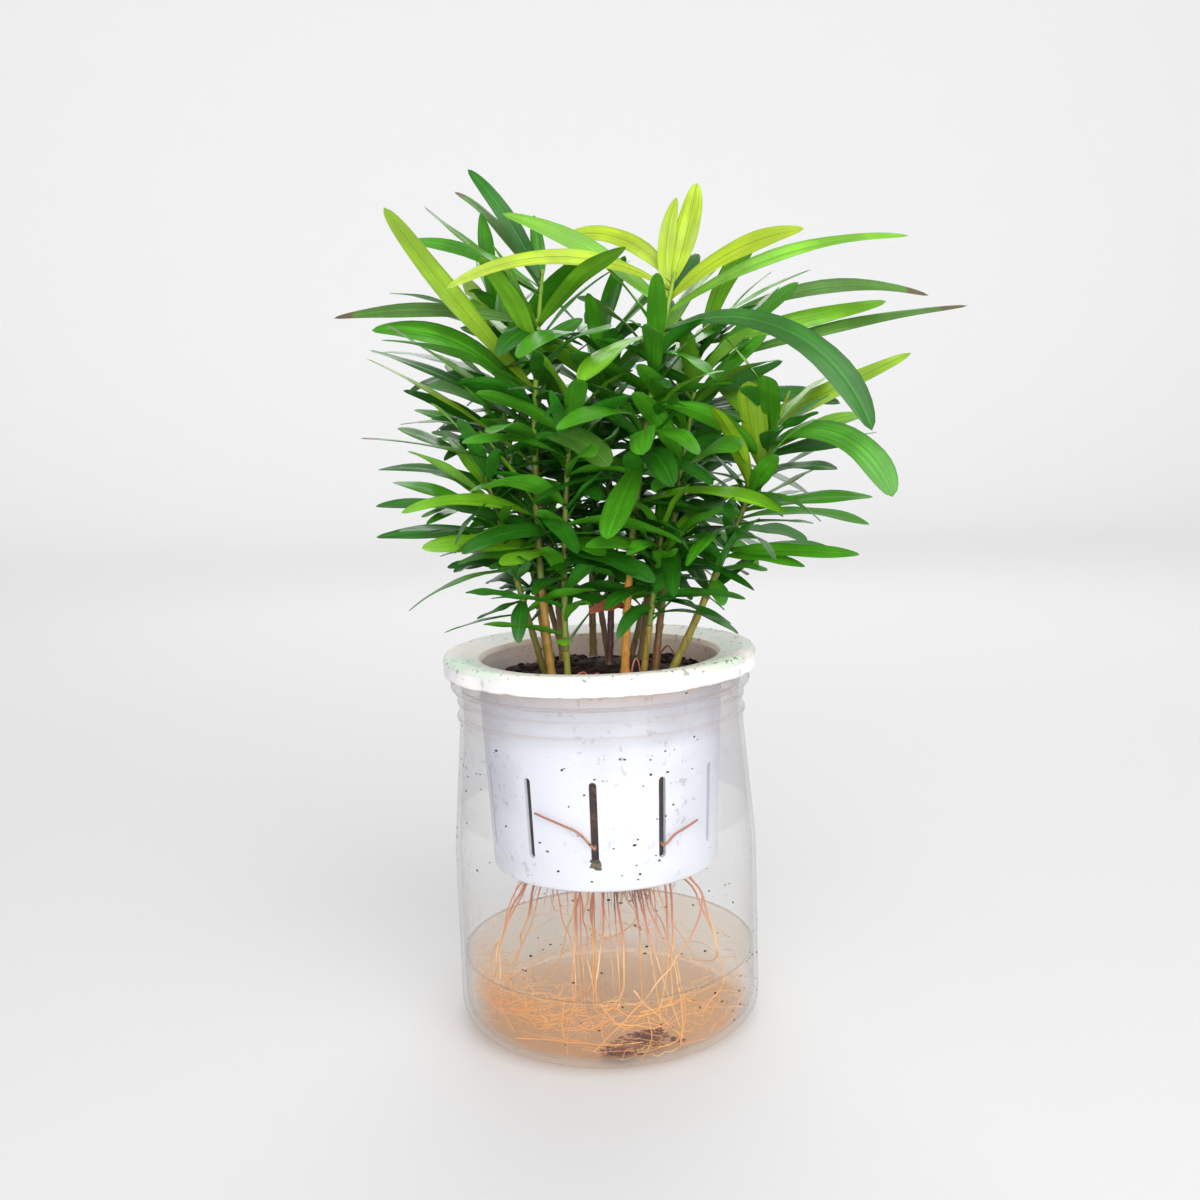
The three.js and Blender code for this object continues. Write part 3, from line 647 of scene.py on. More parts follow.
def smooth_path(points, pitch):
    """Points at about the pitch along a centripetal curve through the given ones."""
    points = [Vector(p) for p in points]
    ends = [2 * points[0] - points[1], *points, 2 * points[-1] - points[-2]]
    path = []
    for p0, p1, p2, p3 in zip(ends, ends[1:], ends[2:], ends[3:]):
        t1 = (p1 - p0).length ** 0.5
        t2 = t1 + (p2 - p1).length ** 0.5
        t3 = t2 + (p3 - p2).length ** 0.5
        steps = max(2, round((p2 - p1).length / pitch))
        for k in range(steps):
            t = t1 + (t2 - t1) * k / steps
            a1 = p0.lerp(p1, t / t1)
            a2 = p1.lerp(p2, (t - t1) / (t2 - t1))
            a3 = p2.lerp(p3, (t - t2) / (t3 - t2))
            b1 = a1.lerp(a2, t / t2)
            b2 = a2.lerp(a3, (t - t1) / (t3 - t1))
            path.append(b1.lerp(b2, (t - t1) / (t2 - t1)))
    return [*path, points[-1]]


def paths_object(name, paths):
    """Polylines as one mesh. A path is a list of (point, radius)."""
    points, edges, radii = [], [], []
    for path in paths:
        first = len(points)
        points += [point for point, _ in path]
        radii += [radius for _, radius in path]
        edges += [(k, k + 1) for k in range(first, len(points) - 1)]
    obj = new_object(name, points, edges)
    obj.data.attributes.new("girth", "FLOAT", "POINT").data.foreach_set("value", radii)
    return obj


# How far apart the three runs of noise lie that a sway takes its parts from.
SWAY_SHIFTS = ((17.3, 0, 0), (0, 41.9, 0), (0, 0, 73.1))


def between(low, high, share):
    return low + (high - low) * share


def in_metres(points):
    return [point * MM for point in points]


def round_point(radius, degrees, height):
    angle = math.radians(degrees)
    return Vector((radius * math.cos(angle), radius * math.sin(angle), height))


def sway(point):
    """A smooth random vector, of up to about 1 each way, which is the same for the same point."""
    return Vector([noise.noise(point + Vector(shift)) for shift in SWAY_SHIFTS])


# ---- Shared geometry trees ----


def sweep_tree():
    """Sweeps a round section of the girth attribute along each line, with a relief over its skin."""
    net = ShapeNet("sweep", Sides="count", Relief="number", Grain="number", Material="material")
    lines = net.field("GeometryNodeMeshToCurve", {"Mesh": net.given("Geometry")})
    section = net.field("GeometryNodeCurvePrimitiveCircle", {"Resolution": net.given("Sides"), "Radius": 1.0})
    inputs = {"Curve": lines, "Profile Curve": section, "Scale": net.attribute("girth"), "Fill Caps": True}
    skin = net.field("GeometryNodeCurveToMesh", inputs)
    place = net.field("GeometryNodeInputPosition")
    x, y, z = place.parts()
    bumps = net.noise(net.given("Grain"), at=net.vector(x, y, z * 0.3)) - 0.5
    offset = net.field("GeometryNodeInputNormal").scaled(bumps * net.given("Relief") * 2)
    skin = net.field("GeometryNodeSetPosition", {"Geometry": skin, "Offset": offset})
    return net.finish(skin, [(net.given("Material"), None)])


def grains_tree():
    """Scatters lumpy grains over a surface, thicker in patches. The surface itself isn't kept."""
    net = ShapeNet(
        "grains", Density="number", Smallest="number", Largest="number", Squash="number",
        Patches="number", Detail="count", Seed="count", Material="material")
    patches = net.noise(net.given("Patches"), at=net.field("GeometryNodeInputPosition"))
    density = patches.ramp(0.45, 0.7) * net.given("Density")
    spread = net.node(
        "GeometryNodeDistributePointsOnFaces",
        {"Mesh": net.given("Geometry"), "Density": density, "Seed": net.given("Seed")})
    sizes = {2: net.given("Smallest"), 3: net.given("Largest"), "Seed": net.given("Seed")}
    size = net.field("FunctionNodeRandomValue", sizes, output=1, data_type="FLOAT")
    lengths = {2: 1.0, 3: 1.8, "Seed": net.given("Seed") + 7}
    lengthened = net.field("FunctionNodeRandomValue", lengths, output=1, data_type="FLOAT")
    grain = net.field("GeometryNodeMeshIcoSphere", {"Radius": 1.0, "Subdivisions": net.given("Detail")})
    placed = net.field("GeometryNodeInstanceOnPoints", {
        "Points": spread.outputs["Points"], "Instance": grain, "Rotation": spread.outputs["Rotation"],
        "Scale": net.vector(size * lengthened, size, size * net.given("Squash"))})
    grains = net.field("GeometryNodeRealizeInstances", {"Geometry": placed})
    ruggedness = net.noise(900.0, at=net.field("GeometryNodeInputPosition"), output="Color")
    offset = ruggedness.minus((0.5, 0.5, 0.5)).scaled(net.given("Largest") * 0.7)
    grains = net.field("GeometryNodeSetPosition", {"Geometry": grains, "Offset": offset})
    return net.finish(grains, [(net.given("Material"), None)])


# ---- Finishes ----


class Finish(Net):
    """A material that is wired by formulas, with one Principled shader unless it is glazed."""

    def __init__(self, name, roughness=0.5, **plain):
        material = bpy.data.materials.new(name)
        material.use_nodes = True
        super().__init__(material.node_tree)
        self.material = material
        self.shader = self.tree.nodes["Principled BSDF"]
        self.shader.inputs["Roughness"].default_value = roughness
        for name, value in plain.items():
            self.shader.inputs[name.replace("_", " ")].default_value = value
        self.place = self.field("ShaderNodeTexCoord", output="Object")

    def noise(self, scale, detail, at=None):
        """Noise by the place on the piece, unless another vector is given."""
        return super().noise(scale, at or self.place, detail)

    def mixed(self, low, high, share):
        """Two colours mixed. The Mix node takes them in its sockets 6 and 7."""
        low, high = (end if isinstance(end, Field) else (*end, 1) for end in (low, high))
        node = self.node("ShaderNodeMix", {"Factor": share, 6: low, 7: high}, data_type="RGBA")
        return Field(self, node.outputs[2])

    def coated(self, colour, *coats):
        """Lays coats over a colour in turn. Each is a colour and the share in which it covers."""
        for coat, share in coats:
            colour = self.mixed(colour, coat, share)
        return colour

    def layer(self, name):
        """A layer of numbers that the mesh carries."""
        return self.field("ShaderNodeAttribute", {}, output="Fac", attribute_name=name)

    def set(self, **inputs):
        for name, value in inputs.items():
            self.wire(self.shader.inputs[name.replace("_", " ")], value)

    def bump(self, height, depth):
        made = self.field("ShaderNodeBump", {"Height": height, "Distance": depth, "Strength": 1.0})
        self.wire(self.shader.inputs["Normal"], made)

    def glazed(self, body, roughness, falloff, least):
        """Ends in a body under a gloss that mirrors by angle, in place of the Principled shader."""
        facing = self.field("ShaderNodeLayerWeight", {"Blend": 0.5}, output="Facing")
        mirrored = facing ** falloff * 0.8 + least
        gloss = self.field("ShaderNodeBsdfGlossy", {"Roughness": roughness})
        surface = self.field("ShaderNodeMixShader", {0: mirrored, 1: body, 2: gloss})
        self.wire(self.tree.nodes["Material Output"].inputs["Surface"], surface)
        return self.material


def scaled(colour, share):
    return tuple(min(1, value * share) for value in colour)


def sum_of(fields):
    total, *rest = fields
    for field in rest:
        total = total + field
    return total


def clear_plastic():
    """Thin clear plastic, faintly smudged, with painted highlights on the neck's rings, painted shade in the
    neck under the flange and grey painted shade at its sides beside the pot. What shows through it isn't
    bent.
    """
    jar = settings("jar")
    finish = Finish("clear_plastic")
    x, y, z = finish.place.parts()
    streaks = finish.noise(30.0, 3.0, at=finish.vector(x, y, z * 0.25)).ramp(0.5, 0.8)
    smudges = finish.noise(90.0, 4.0).ramp(0.5, 0.75)
    # Painted highlights: pale lines of film at the heights where light catches the neck's rings.
    lines = sum_of(
        z.climb(low, low + 0.5) * z.climb(low + 1.3, low + 0.8) * strength
        for low, strength in NECK_LINES)
    # In the neck under the flange a greyish pink film: partly smudges, partly painted shade of the flange.
    in_neck = z.climb(JAR_NECK - 1, JAR_NECK + 3)
    # Grey painted shade on the jar's sides beside the pot, from 70 mm up.
    painted_side_shade = z.climb(69.5, 71.5) * x.absolute().climb(31, 37)
    neck = in_neck * (smudges * 0.06 + 0.05) + lines
    haze = (streaks * 0.6 + smudges * 0.4 + 0.5) * jar.haze + neck + painted_side_shade * 0.09
    # The film's colour: white haze, with the grey painted shade beside the pot and the neck's greyish pink
    # smudges and painted shade.
    haze_and_shade_colour = finish.coated(
        tint(240, 240, 244),
        (tint(160, 160, 168), painted_side_shade),
        (tint(176, 164, 162), in_neck))
    clear = finish.field("ShaderNodeBsdfTransparent", {"Color": (*jar.colour, 1)})
    film = finish.field("ShaderNodeBsdfDiffuse", {"Color": haze_and_shade_colour})
    hazy = finish.field("ShaderNodeMixShader", {0: haze, 1: clear, 2: film})
    return finish.glazed(hazy, roughness=smudges * 0.12 + 0.2, falloff=4, least=0.012)


def white_plastic():
    """Moulded white plastic with a green film on the flange, grime inside the mouth and specks."""
    pot = settings("pot")
    top = FLANGE_TOP
    finish = Finish("white_plastic", roughness=0.42)
    x, y, z = finish.place.parts()
    across = finish.vector(x, y, 0.0).length()
    cloud = finish.noise(45.0, 4.0)
    on_flange = z.climb(top - 3, top - 1)
    algae = cloud.ramp(0.4, 0.62) * on_flange * (x.absolute().climb(24, 42) * 0.75 + 0.2)
    in_mouth = across.climb(41.5, 38.6) * z.climb(112, 115)
    specks = finish.noise(420.0, 2.0).ramp(0.61, 0.67) * cloud.ramp(0.4, 0.55)
    grubby = x.climb(20, 46) * cloud.ramp(0.3, 0.6)
    lower_edge = z.climb(top - 5.4, top - 6.3) * across.climb(46, 49)
    stain = lower_edge * finish.noise(160.0, 3.0).ramp(0.42, 0.62)
    colour = finish.coated(
        pot.wall,
        (pot.plastic, z.climb(top - 7, top - 6)),
        (scaled(pot.wall, 0.82), cloud.ramp(0.4, 0.7) * 0.6),
        (tint(222, 215, 207), on_flange * (cloud * 0.5 + 0.5)),
        (tint(196, 184, 170), on_flange * grubby * 0.7),
        (pot.algae, algae),
        (pot.grime, in_mouth * (cloud.ramp(0.35, 0.6) * 0.35 + 0.6)),
        (tint(120, 104, 84), specks * (on_flange * 0.5 + 0.3)),
        (tint(150, 112, 88), stain * 0.7))
    finish.set(Base_Color=colour, Roughness=cloud * 0.2 + 0.32)
    finish.bump(finish.noise(300.0, 3.0), 0.06 * MM)
    return finish.material


def soil_finish():
    soil = settings("soil")
    finish = Finish("potting_soil", roughness=0.85, Specular_IOR_Level=0.15)
    crumbs = finish.noise(260.0, 5.0)
    patches = finish.noise(1100.0, 2.0)
    colour = finish.coated(
        soil.dark,
        (soil.light, crumbs.ramp(0.5, 0.78)),
        (scaled(soil.dark, 0.4), patches.ramp(0.5, 0.7)))
    finish.set(Base_Color=colour, Roughness=crumbs * 0.5 + 0.5)
    finish.bump(finish.noise(1400.0, 4.0), 0.3 * MM)
    return finish.material


def dirt_finish():
    """Dirt that is purplish as silt on the jar's floor and rusty on the flange."""
    finish = Finish("dirt", roughness=0.8)
    cloud = finish.noise(500.0, 3.0)
    height = finish.place.parts()[2]
    silty, rusty = height.climb(10, 6), height.climb(116, 118)
    dark = finish.coated(tint(52, 46, 38), (tint(96, 62, 60), silty), (tint(88, 60, 44), rusty))
    pale = finish.coated(tint(108, 92, 66), (tint(146, 104, 96), silty), (tint(150, 112, 82), rusty))
    finish.set(Base_Color=finish.mixed(dark, pale, cloud.ramp(0.4, 0.65)))
    return finish.material


def water_finish():
    """Clear brownish water with a film on it. The front and the silty bottom are browner."""
    water = settings("water")
    level = water.level / MM
    finish = Finish("water")
    _, y, height = finish.place.parts()
    cloud = finish.noise(40.0, 3.0)
    film = height.climb(level - 1.0, level - 0.75)
    rim = height.climb(level - 0.65, level - 0.1)
    front = y.climb(-14, -36) * height.climb(level - 0.6, level - 2)
    colour = finish.coated(
        water.colour,
        (water.film, film * (cloud * 0.5 + 0.6)),
        (scaled(water.film, 0.8), rim),
        (water.silt, front.larger(height.climb(6, 2.2)) * (cloud * 0.6 + 0.5)))
    clear = finish.field("ShaderNodeBsdfTransparent", {"Color": colour})
    return finish.glazed(clear, roughness=0.03, falloff=5, least=0.02)


def root_finish():
    """Roots are dry above the water and pale in it, with a clump of dead ones under the pot."""
    root = settings("roots")
    finish = Finish("root", roughness=0.55)
    height = finish.place.parts()[2]
    cloud = finish.noise(120.0, 4.0)
    fine = finish.noise(1500.0, 2.0)
    share = (height + (cloud - 0.5) * 12 * MM).climb(22, 40)
    pale = finish.noise(60.0, 2.0).ramp(0.45, 0.7)
    from_clump = finish.place.minus(CLUMP).length()
    colour = finish.coated(
        root.wet,
        (root.dry, share),
        (tint(156, 88, 68), height.climb(58, 62) * (cloud * 0.5 + 0.6)),
        (scaled(root.dry, 0.5), cloud.ramp(0.6, 0.8) * 0.7),
        (tint(248, 214, 150), pale * (0.1 + 0.8 * (1 - share))),
        (tint(84, 58, 54), from_clump.climb(11, 5) * 0.9))
    finish.set(Base_Color=colour, Roughness=fine * 0.3 + 0.35)
    finish.bump(fine, 0.08 * MM)
    return finish.material


def bark_finish(name, low, high, turn):
    """Young bark that turns green with height, with lengthwise streaks and brown leaf scars."""
    finish = Finish(name, roughness=0.45)
    x, y, z = finish.place.parts()
    cloud = finish.noise(70.0, 3.0)
    streaks = finish.noise(1100.0, 3.0, at=finish.vector(x, y, z * 0.06))
    share = (z + (cloud - 0.5) * 30 * MM).climb(turn - 14, turn + 14)
    streaked = finish.mixed(scaled(low, 0.45), scaled(high, 0.5), share)
    scars = finish.noise(330.0, 2.0, at=finish.vector(x * 0.3, y * 0.3, z)).ramp(0.66, 0.74)
    colour = finish.coated(
        low,
        (high, share),
        (streaked, streaks.ramp(0.5, 0.8)),
        (tint(132, 72, 34), scars * 0.7))
    finish.set(Base_Color=colour, Roughness=streaks * 0.3 + 0.3)
    finish.bump(streaks, 0.12 * MM)
    return finish.material


def leaf_finish(name, colour, gloss=0.36):
    """Leathery leaf with lengthwise veins, darker from leaf to leaf, with patches of painted shade and
    painted shade towards its root.
    """
    finish = Finish(name, roughness=gloss, Specular_IOR_Level=0.4, Coat_Weight=0.1, Coat_Roughness=0.25)
    along, across, heading = (finish.layer(label) for label in ("along", "across", "heading"))
    # The darker colour of the patches of painted shade and of the veins.
    shade_and_vein_colour = scaled(colour, 0.54)
    cloud = finish.noise(75.0, 3.0)
    fine = finish.noise(700.0, 2.0)
    veins = finish.noise(5.0, 3.0, at=finish.vector(across, along * 0.3, heading))
    apart = (heading * 37.7).sin()
    margin = across.absolute().ramp(0.78, 1.0) * 0.45 + along.ramp(0.94, 1.0) * 0.4
    # Cloud patches of painted shade, darker veins, painted shade towards the root, darker margins and tip,
    # and a tone that changes from leaf to leaf.
    painted = finish.coated(
        colour,
        (shade_and_vein_colour, cloud.ramp(0.35, 0.65) * 0.8),
        (shade_and_vein_colour, veins.ramp(0.42, 0.62) * 0.7),
        (scaled(colour, 0.5), along.ramp(0.4, 0.0) * 0.6),
        (scaled(colour, 0.45), margin),
        (scaled(colour, 0.6), apart.ramp(0.0, 1.0) * 0.45))
    finish.set(Base_Color=painted, Roughness=fine * 0.14 + gloss - 0.07)
    finish.bump(veins, 0.12 * MM)
    return finish.material


def floor_finish():
    """A plain pale floor, faintly cloudy, painted lighter far away to make up for the weaker light on the rim
    where it turns up.
    """
    stage = settings("stage")
    finish = Finish("floor", roughness=0.7)
    x, y, _ = finish.place.parts()
    # Painted light: the colour lightens with distance towards the far rim, where the upturned wall gets less
    # light.
    away = finish.vector(x, y, 0.0).length().ramp(0.25, 1.8)
    cloud = finish.noise(3.0, 2.0)
    finish.set(Base_Color=finish.coated(stage.floor, (stage.wall, away), ((0.8, 0.8, 0.8), cloud * 0.05)))
    return finish.material


# ---- Jar, pot, soil, water ----


def jar_outline():
    """The jar's skin from the axis under its floor, up the outside, over the lip and down the inside."""
    jar = settings("jar")
    r, neck, wall = jar.radius, jar.neck, jar.wall
    lip = neck + 2.6 * MM
    outside = [
        (0, 0, 0),
        (r, 0, jar.corner),
        (r, JAR_SHOULDER * MM, 60 * MM),
        (neck + 0.2 * MM, JAR_NECK * MM, 8 * MM),
    ]
    for height, half, depth, fillet in JAR_RINGS:
        outside += [
            (neck, (height - half) * MM, 0.6 * MM),
            (neck + depth * MM, height * MM, fillet * MM),
            (neck, (height + half) * MM, 0.6 * MM),
        ]
    outside += [(lip, JAR_LIP * MM, 1.5 * MM), (lip, jar.height, 0.9 * MM)]
    inside = [
        (lip - 2 * wall, jar.height, 0.9 * MM),
        (neck - wall, 109 * MM, 2 * MM),
        (neck - wall, (JAR_NECK + 2) * MM, 8 * MM),
        (r - wall, JAR_SHOULDER * MM, 60 * MM),
        (r - wall, jar.floor, jar.corner - wall),
        (0, jar.floor, 0),
    ]
    return rounded(outside + inside, steps=7)


def make_jar():
    obj = shade(turned("clear_jar", jar_outline(), sides=128))
    obj.data.materials.append(clear_plastic())
    finished(obj, "clear_plastic", "jar")


def pot_radius(height):
    """Outer radius of the pot's wall at a height, which narrows downwards."""
    return between(*POT_RADII, (height - POT_BOTTOM) / (FLANGE_LOW - POT_BOTTOM))


def pot_outline():
    """The pot's skin from the axis under its floor, up the outside, over the flange and down the inside."""
    low, high, top, rim = POT_BOTTOM, FLANGE_LOW, FLANGE_TOP, POT_TOP.x / MM
    corners = [
        (0, low, 0),
        (pot_radius(low), low, 1.2),
        (pot_radius(high), high, 0.6),
        (pot_radius(high) + 1, top - 3.1, 0.8),
        (rim - 3, top - 2.8, 0.6),
        (rim - 3, high, 0.3),
        (rim, high, 0.8),
        (rim, top, 1.6),
        (rim - 4, top, 2),
        (39.6, top - 1.7, 1.2),
        (38.5, top - 3.2, 1.0),
        (pot_radius(high) - POT_WALL, 113, 1.5),
        (pot_radius(low) - POT_WALL, low + POT_FLOOR, 0.8),
        (0, low + POT_FLOOR, 0),
    ]
    return rounded([(r * MM, z * MM, fillet * MM) for r, z, fillet in corners])


X_AXIS, Y_AXIS, Z_AXIS = Vector((1, 0, 0)), Vector((0, 1, 0)), Vector((0, 0, 1))

# The holes at zero degrees, through the wall and through the floor: which way one is long and which
# way it is cut, where the cut starts, how deep it is and how long the hole is.
HOLES = (
    (Z_AXIS, X_AXIS, (33, 0, 76.5), 12, 26),
    (-X_AXIS, Z_AXIS, (21, 0, 51), 8, 18),
)


def slot_cutter():
    """A cutter for the holes, with round ends."""
    half = settings("pot").slot_width / 2
    cutter = new_object("slot_cutter", [])
    with edited(cutter.data) as shape:
        for along, through, start, depth, length in HOLES:
            ring = []
            for end in (1, -1):
                for k in range(9):
                    angle = math.pi * k / 8
                    out = end * (length * MM / 2 - half + half * math.sin(angle))
                    across = end * half * math.cos(angle)
                    ring.append(shape.verts.new(Vector(start) * MM + Y_AXIS * across + along * out))
            pulled = bmesh.ops.extrude_face_region(shape, geom=[shape.faces.new(ring)])
            moved = [item for item in pulled["geom"] if isinstance(item, bmesh.types.BMVert)]
            bmesh.ops.translate(shape, verts=moved, vec=through * depth * MM)
    return outward(cutter)


def slots_tree():
    """Cuts the cutter's holes at equal turns round the Z axis."""
    net = ShapeNet("slots", Cutter="object", Count="count", Turn="number", Material="material")
    cutter = net.field("GeometryNodeObjectInfo", {"Object": net.given("Cutter")}, output="Geometry")
    centres = net.field("GeometryNodeMeshLine", {"Count": net.given("Count"), "Offset": (0.0, 0.0, 0.0)})
    index = net.field("GeometryNodeInputIndex")
    angle = index * (2 * math.pi) / net.given("Count") + net.given("Turn")
    turns = net.field("FunctionNodeEulerToRotation", {"Euler": net.vector(0.0, 0.0, angle)})
    placed = {"Points": centres, "Instance": cutter, "Rotation": turns}
    cutters = net.field("GeometryNodeInstanceOnPoints", placed)
    cutters = net.field("GeometryNodeRealizeInstances", {"Geometry": cutters})
    meshes = {"Mesh 1": net.given("Geometry"), "Mesh 2": cutters}
    cut = net.field("GeometryNodeMeshBoolean", meshes, operation="DIFFERENCE")
    return net.finish(cut, [(net.given("Material"), None)])


def make_pot():
    pot = settings("pot")
    obj = turned("slotted_pot", pot_outline(), sides=144)
    cutter = slot_cutter()
    inputs = {"Count": pot.slots, "Turn": pot.slot_turn, "Material": white_plastic()}
    run_through(obj, slots_tree(), Cutter=cutter, **inputs)
    bpy.data.objects.remove(cutter)
    finished(shade(obj), "white_plastic", "net_pot")


def soil_height(x, y):
    """Height of the soil in millimetres under a point that is given in millimetres."""
    share = min(1.0, math.hypot(x, y) / SOIL_DROP)
    return SOIL_DOME - (SOIL_DOME - SOIL_RIM) * share * share


def make_soil():
    """A lumpy bed of soil, and crumbs over its top."""
    soil = settings("soil")
    low = POT_BOTTOM + POT_FLOOR + GAP
    inset = POT_WALL + GAP
    edge = pot_radius(SOIL_RIM) - inset
    outline = [(0, low), (pot_radius(low) - inset, low), (edge, SOIL_RIM - 1)]
    outline += [(edge * k / 24, soil_height(edge * k / 24, 0) - 0.8) for k in range(24, -1, -1)]
    body = turned("soil_bed", [Vector(p) * MM for p in outline], sides=120)
    for vertex in body.data.vertices:
        if vertex.co.z > (SOIL_RIM - 2) * MM:
            vertex.co.z += noise.fractal(vertex.co * 130, 1.0, 2.0, 4) * 1.5 * MM
    material = soil_finish()
    body.data.materials.append(material)
    finished(shade(body, math.radians(60)), "potting_soil", "soil")
    crumbs = new_object("soil_crumbs", [])
    crumbs.data = body.data.copy()
    keep_top(crumbs, (SOIL_RIM - 2.5) * MM)
    run_through(
        crumbs, grains_tree(), Density=soil.crumbs * 1e4, Smallest=0.15 * soil.crumb, Largest=soil.crumb,
        Squash=0.75, Patches=60.0, Detail=2, Seed=3, Material=material)
    finished(crumbs, "potting_soil")


def keep_top(obj, height):
    """Leaves only the faces that look up from above a height."""
    with edited(obj.data) as shape:
        gone = [f for f in shape.faces if f.normal.z < 0.3 or f.calc_center_median().z < height]
        bmesh.ops.delete(shape, geom=gone, context="FACES")


def make_water():
    """The water, with a rim that climbs the jar's wall."""
    jar, level = settings("jar"), settings("water").level
    edge = jar.radius - jar.wall - GAP * MM
    floor = jar.floor + GAP * MM
    surface = level - 0.7 * MM
    outline = rounded([
        (0, floor, 0),
        (edge, floor, jar.corner - jar.wall),
        (edge, level, 0),
        (edge - 0.1 * MM, level, 0),
        (edge - 1.6 * MM, surface, 1.2 * MM),
        (0, surface, 0),
    ], steps=8)
    obj = shade(turned("jar_water", outline, sides=128))
    obj.data.materials.append(water_finish())
    finished(obj, "water", "water")


# ---- Roots ----

# Main roots by bunch: where a root leaves the pot's floor (degrees, radius), where it comes down
# into the water (degrees, radius), how far it runs round the jar, its lowest height and its girth.
ROOT_BUNCHES = {
    "roots_left": (
        (185, 24, 176, 40, 44, 6, 1.0),
        (194, 24, 205, 43, -48, 12, 0.8),
        (170, 20, 160, 33, 40, 4.5, 1.0),
    ),
    "roots_front": (
        (240, 16, 236, 22, 20, 4.5, 1.0),
        (250, 13, 247, 15, -22, 9, 1.0),
        (268, 16, 262, 31, 42, 4.5, 1.0),
        (285, 13, 280, 24, -32, 6.5, 1.0),
    ),
    "roots_right": (
        (336, 22, 330, 24, -16, 5, 1.0),
        (352, 26, 345, 38, -26, 9, 1.0),
        (2, 20, 12, 38, 40, 4.5, 0.9),
        (322, 24, 318, 25, -42, 4, 1.0),
    ),
    "roots_back": (
        (80, 18, 76, 38, 40, 4.5, 1.0),
        (100, 20, 106, 34, -26, 8, 1.0),
        (118, 18, 126, 26, 20, 4.5, 1.0),
        (60, 22, 50, 36, -30, 6, 0.8),
        (140, 22, 146, 36, 36, 7, 0.8),
    ),
}
SLOT_ROOTS = {"root_slot_front": (0, 69, -28, 10), "root_slot_right": (1, 68, 20, 5)}


def tapered(points, girth, tip=0.45, ripple=0.12):
    """Gives each point of a path its radius, thinner towards the end and slightly uneven."""
    last = len(points) - 1
    path = []
    for k, point in enumerate(points):
        uneven = 1 + ripple * noise.noise(point * 700)
        path.append((point, girth * (1 + (tip - 1) * k / last) * uneven))
    return path


def hanging_root(start, out, to, spread, run, low):
    """A root hangs from the pot's floor, spreads as it enters the water and runs round the jar's floor."""
    level = settings("water").level / MM
    points = [
        round_point(out, start, POT_BOTTOM),
        round_point(out, start, POT_BOTTOM - 3),
        round_point(between(out, spread, 0.35), between(start, to, 0.1), POT_BOTTOM - 11),
        round_point(between(out, spread, 0.75), between(start, to, 0.4), level + 4),
        round_point(spread, to, level - 7),
    ]
    for k in (1, 2, 3):
        points.append(round_point(spread + 1.5 * (k % 2), to + run * k / 3, low + (3 - k) * 2))
    path = smooth_path(points, 2.0)
    return [(point + sway(point * 0.09) * min(1.0, k / 6) * 1.6) * MM for k, point in enumerate(path)]


def slot_root(slot, low, run, climb):
    """The root that has grown out of a slot lies along the pot's outer wall."""
    pot = settings("pot")
    start = math.degrees(pot.slot_turn) + 360 / pot.slots * slot
    outside = pot_radius(low + climb) + 1.3
    points = [round_point(pot_radius(low) - 1.2, start, low), round_point(outside, start, low)]
    for k in (1, 2, 3, 4):
        points.append(round_point(outside, start + run * k / 4, low + climb * math.sqrt(k / 4)))
    return in_metres(smooth_path(points, 0.8))


# Fine roots in families. A hanging one drops from under the pot, a wandering one runs round in the
# water: count, degrees from and to, radius from and to, height of its end or of its run from and to,
# how far it strays in degrees, its girth in fine girths.
HANGING_FAMILIES = (
    (7, 225, 320, 4, 30, 5, 22, 10, 1.0),
    (36, 205, 335, 4, 33, 40, 52, 8, 0.65),
    (20, 0, 360, 5, 30, 34, 50, 8, 0.65),
    (5, 240, 305, 8, 22, 3, 12, 22, 1.8),
    (14, 20, 190, 5, 28, 6, 40, 12, 0.8),
    (60, 272, 296, 20, 30, 44, 52, 9, 0.9),
)
WANDERING_FAMILIES = (
    (190, 170, 262, 32, 46.5, 8, 22.5, 30, 0.6),
    (56, 192, 268, 42, 46.4, 13, 22.6, 26, 1.0),
    (40, 160, 330, 20, 46, 3, 8, 46, 0.8),
    (36, 285, 350, 30, 46, 3.5, 20, 30, 0.7),
    (44, 10, 170, 16, 46, 3.5, 20, 44, 0.7),
    (8, 215, 330, 22, 45, 3.5, 16, 60, 2.2),
)

# Long roots in front, from the pot's floor down: points in millimetres, and the girth.
LONG_ROOTS = (
    (((26, -24, 55), (30, -29, 48), (26, -33, 39), (20, -37, 31), (9, -41.5, 20), (-6, -44, 6)), 1.0),
    (((7, -43, 25), (14, -43.5, 17), (21, -40.5, 9)), 0.8),
    (((-16, -24, 54), (-15, -26, 44), (-12, -29, 36), (-11, -33, 23), (-14, -40, 7)), 0.9),
    (((-9, -22, 54), (-8.5, -24, 48), (-7, -27, 35), (-6, -31, 22), (-5, -35, 16), (-1, -37, 13)), 0.9),
    (((11, -22, 54), (12.5, -26, 47), (16, -29, 38), (19.5, -33, 30), (21, -36, 22), (22, -40, 8)), 0.9),
    (((13, -20, 54), (14, -24, 46), (18, -27, 37), (21, -33, 27), (23, -38, 16), (21, -41, 5)), 0.7),
    (((-25, -18, 54), (-31, -22, 47), (-33.5, -25, 38), (-35, -27, 26), (-34, -29, 12)), 0.9),
    (((-14, -43, 23), (-15, -43.5, 14), (-14, -43, 5)), 0.6),
    (((-1, -44.5, 22), (-3, -45, 14), (-2, -44, 5)), 0.6),
    (((11, -44, 17), (12, -43.5, 11), (11, -43, 5)), 0.6),
    (((21, -40.5, 24), (22, -41, 14), (21, -40, 5)), 0.8),
)
CLUMP = Vector((5, -24, 49)) * MM  # of dead dark roots under the pot's floor


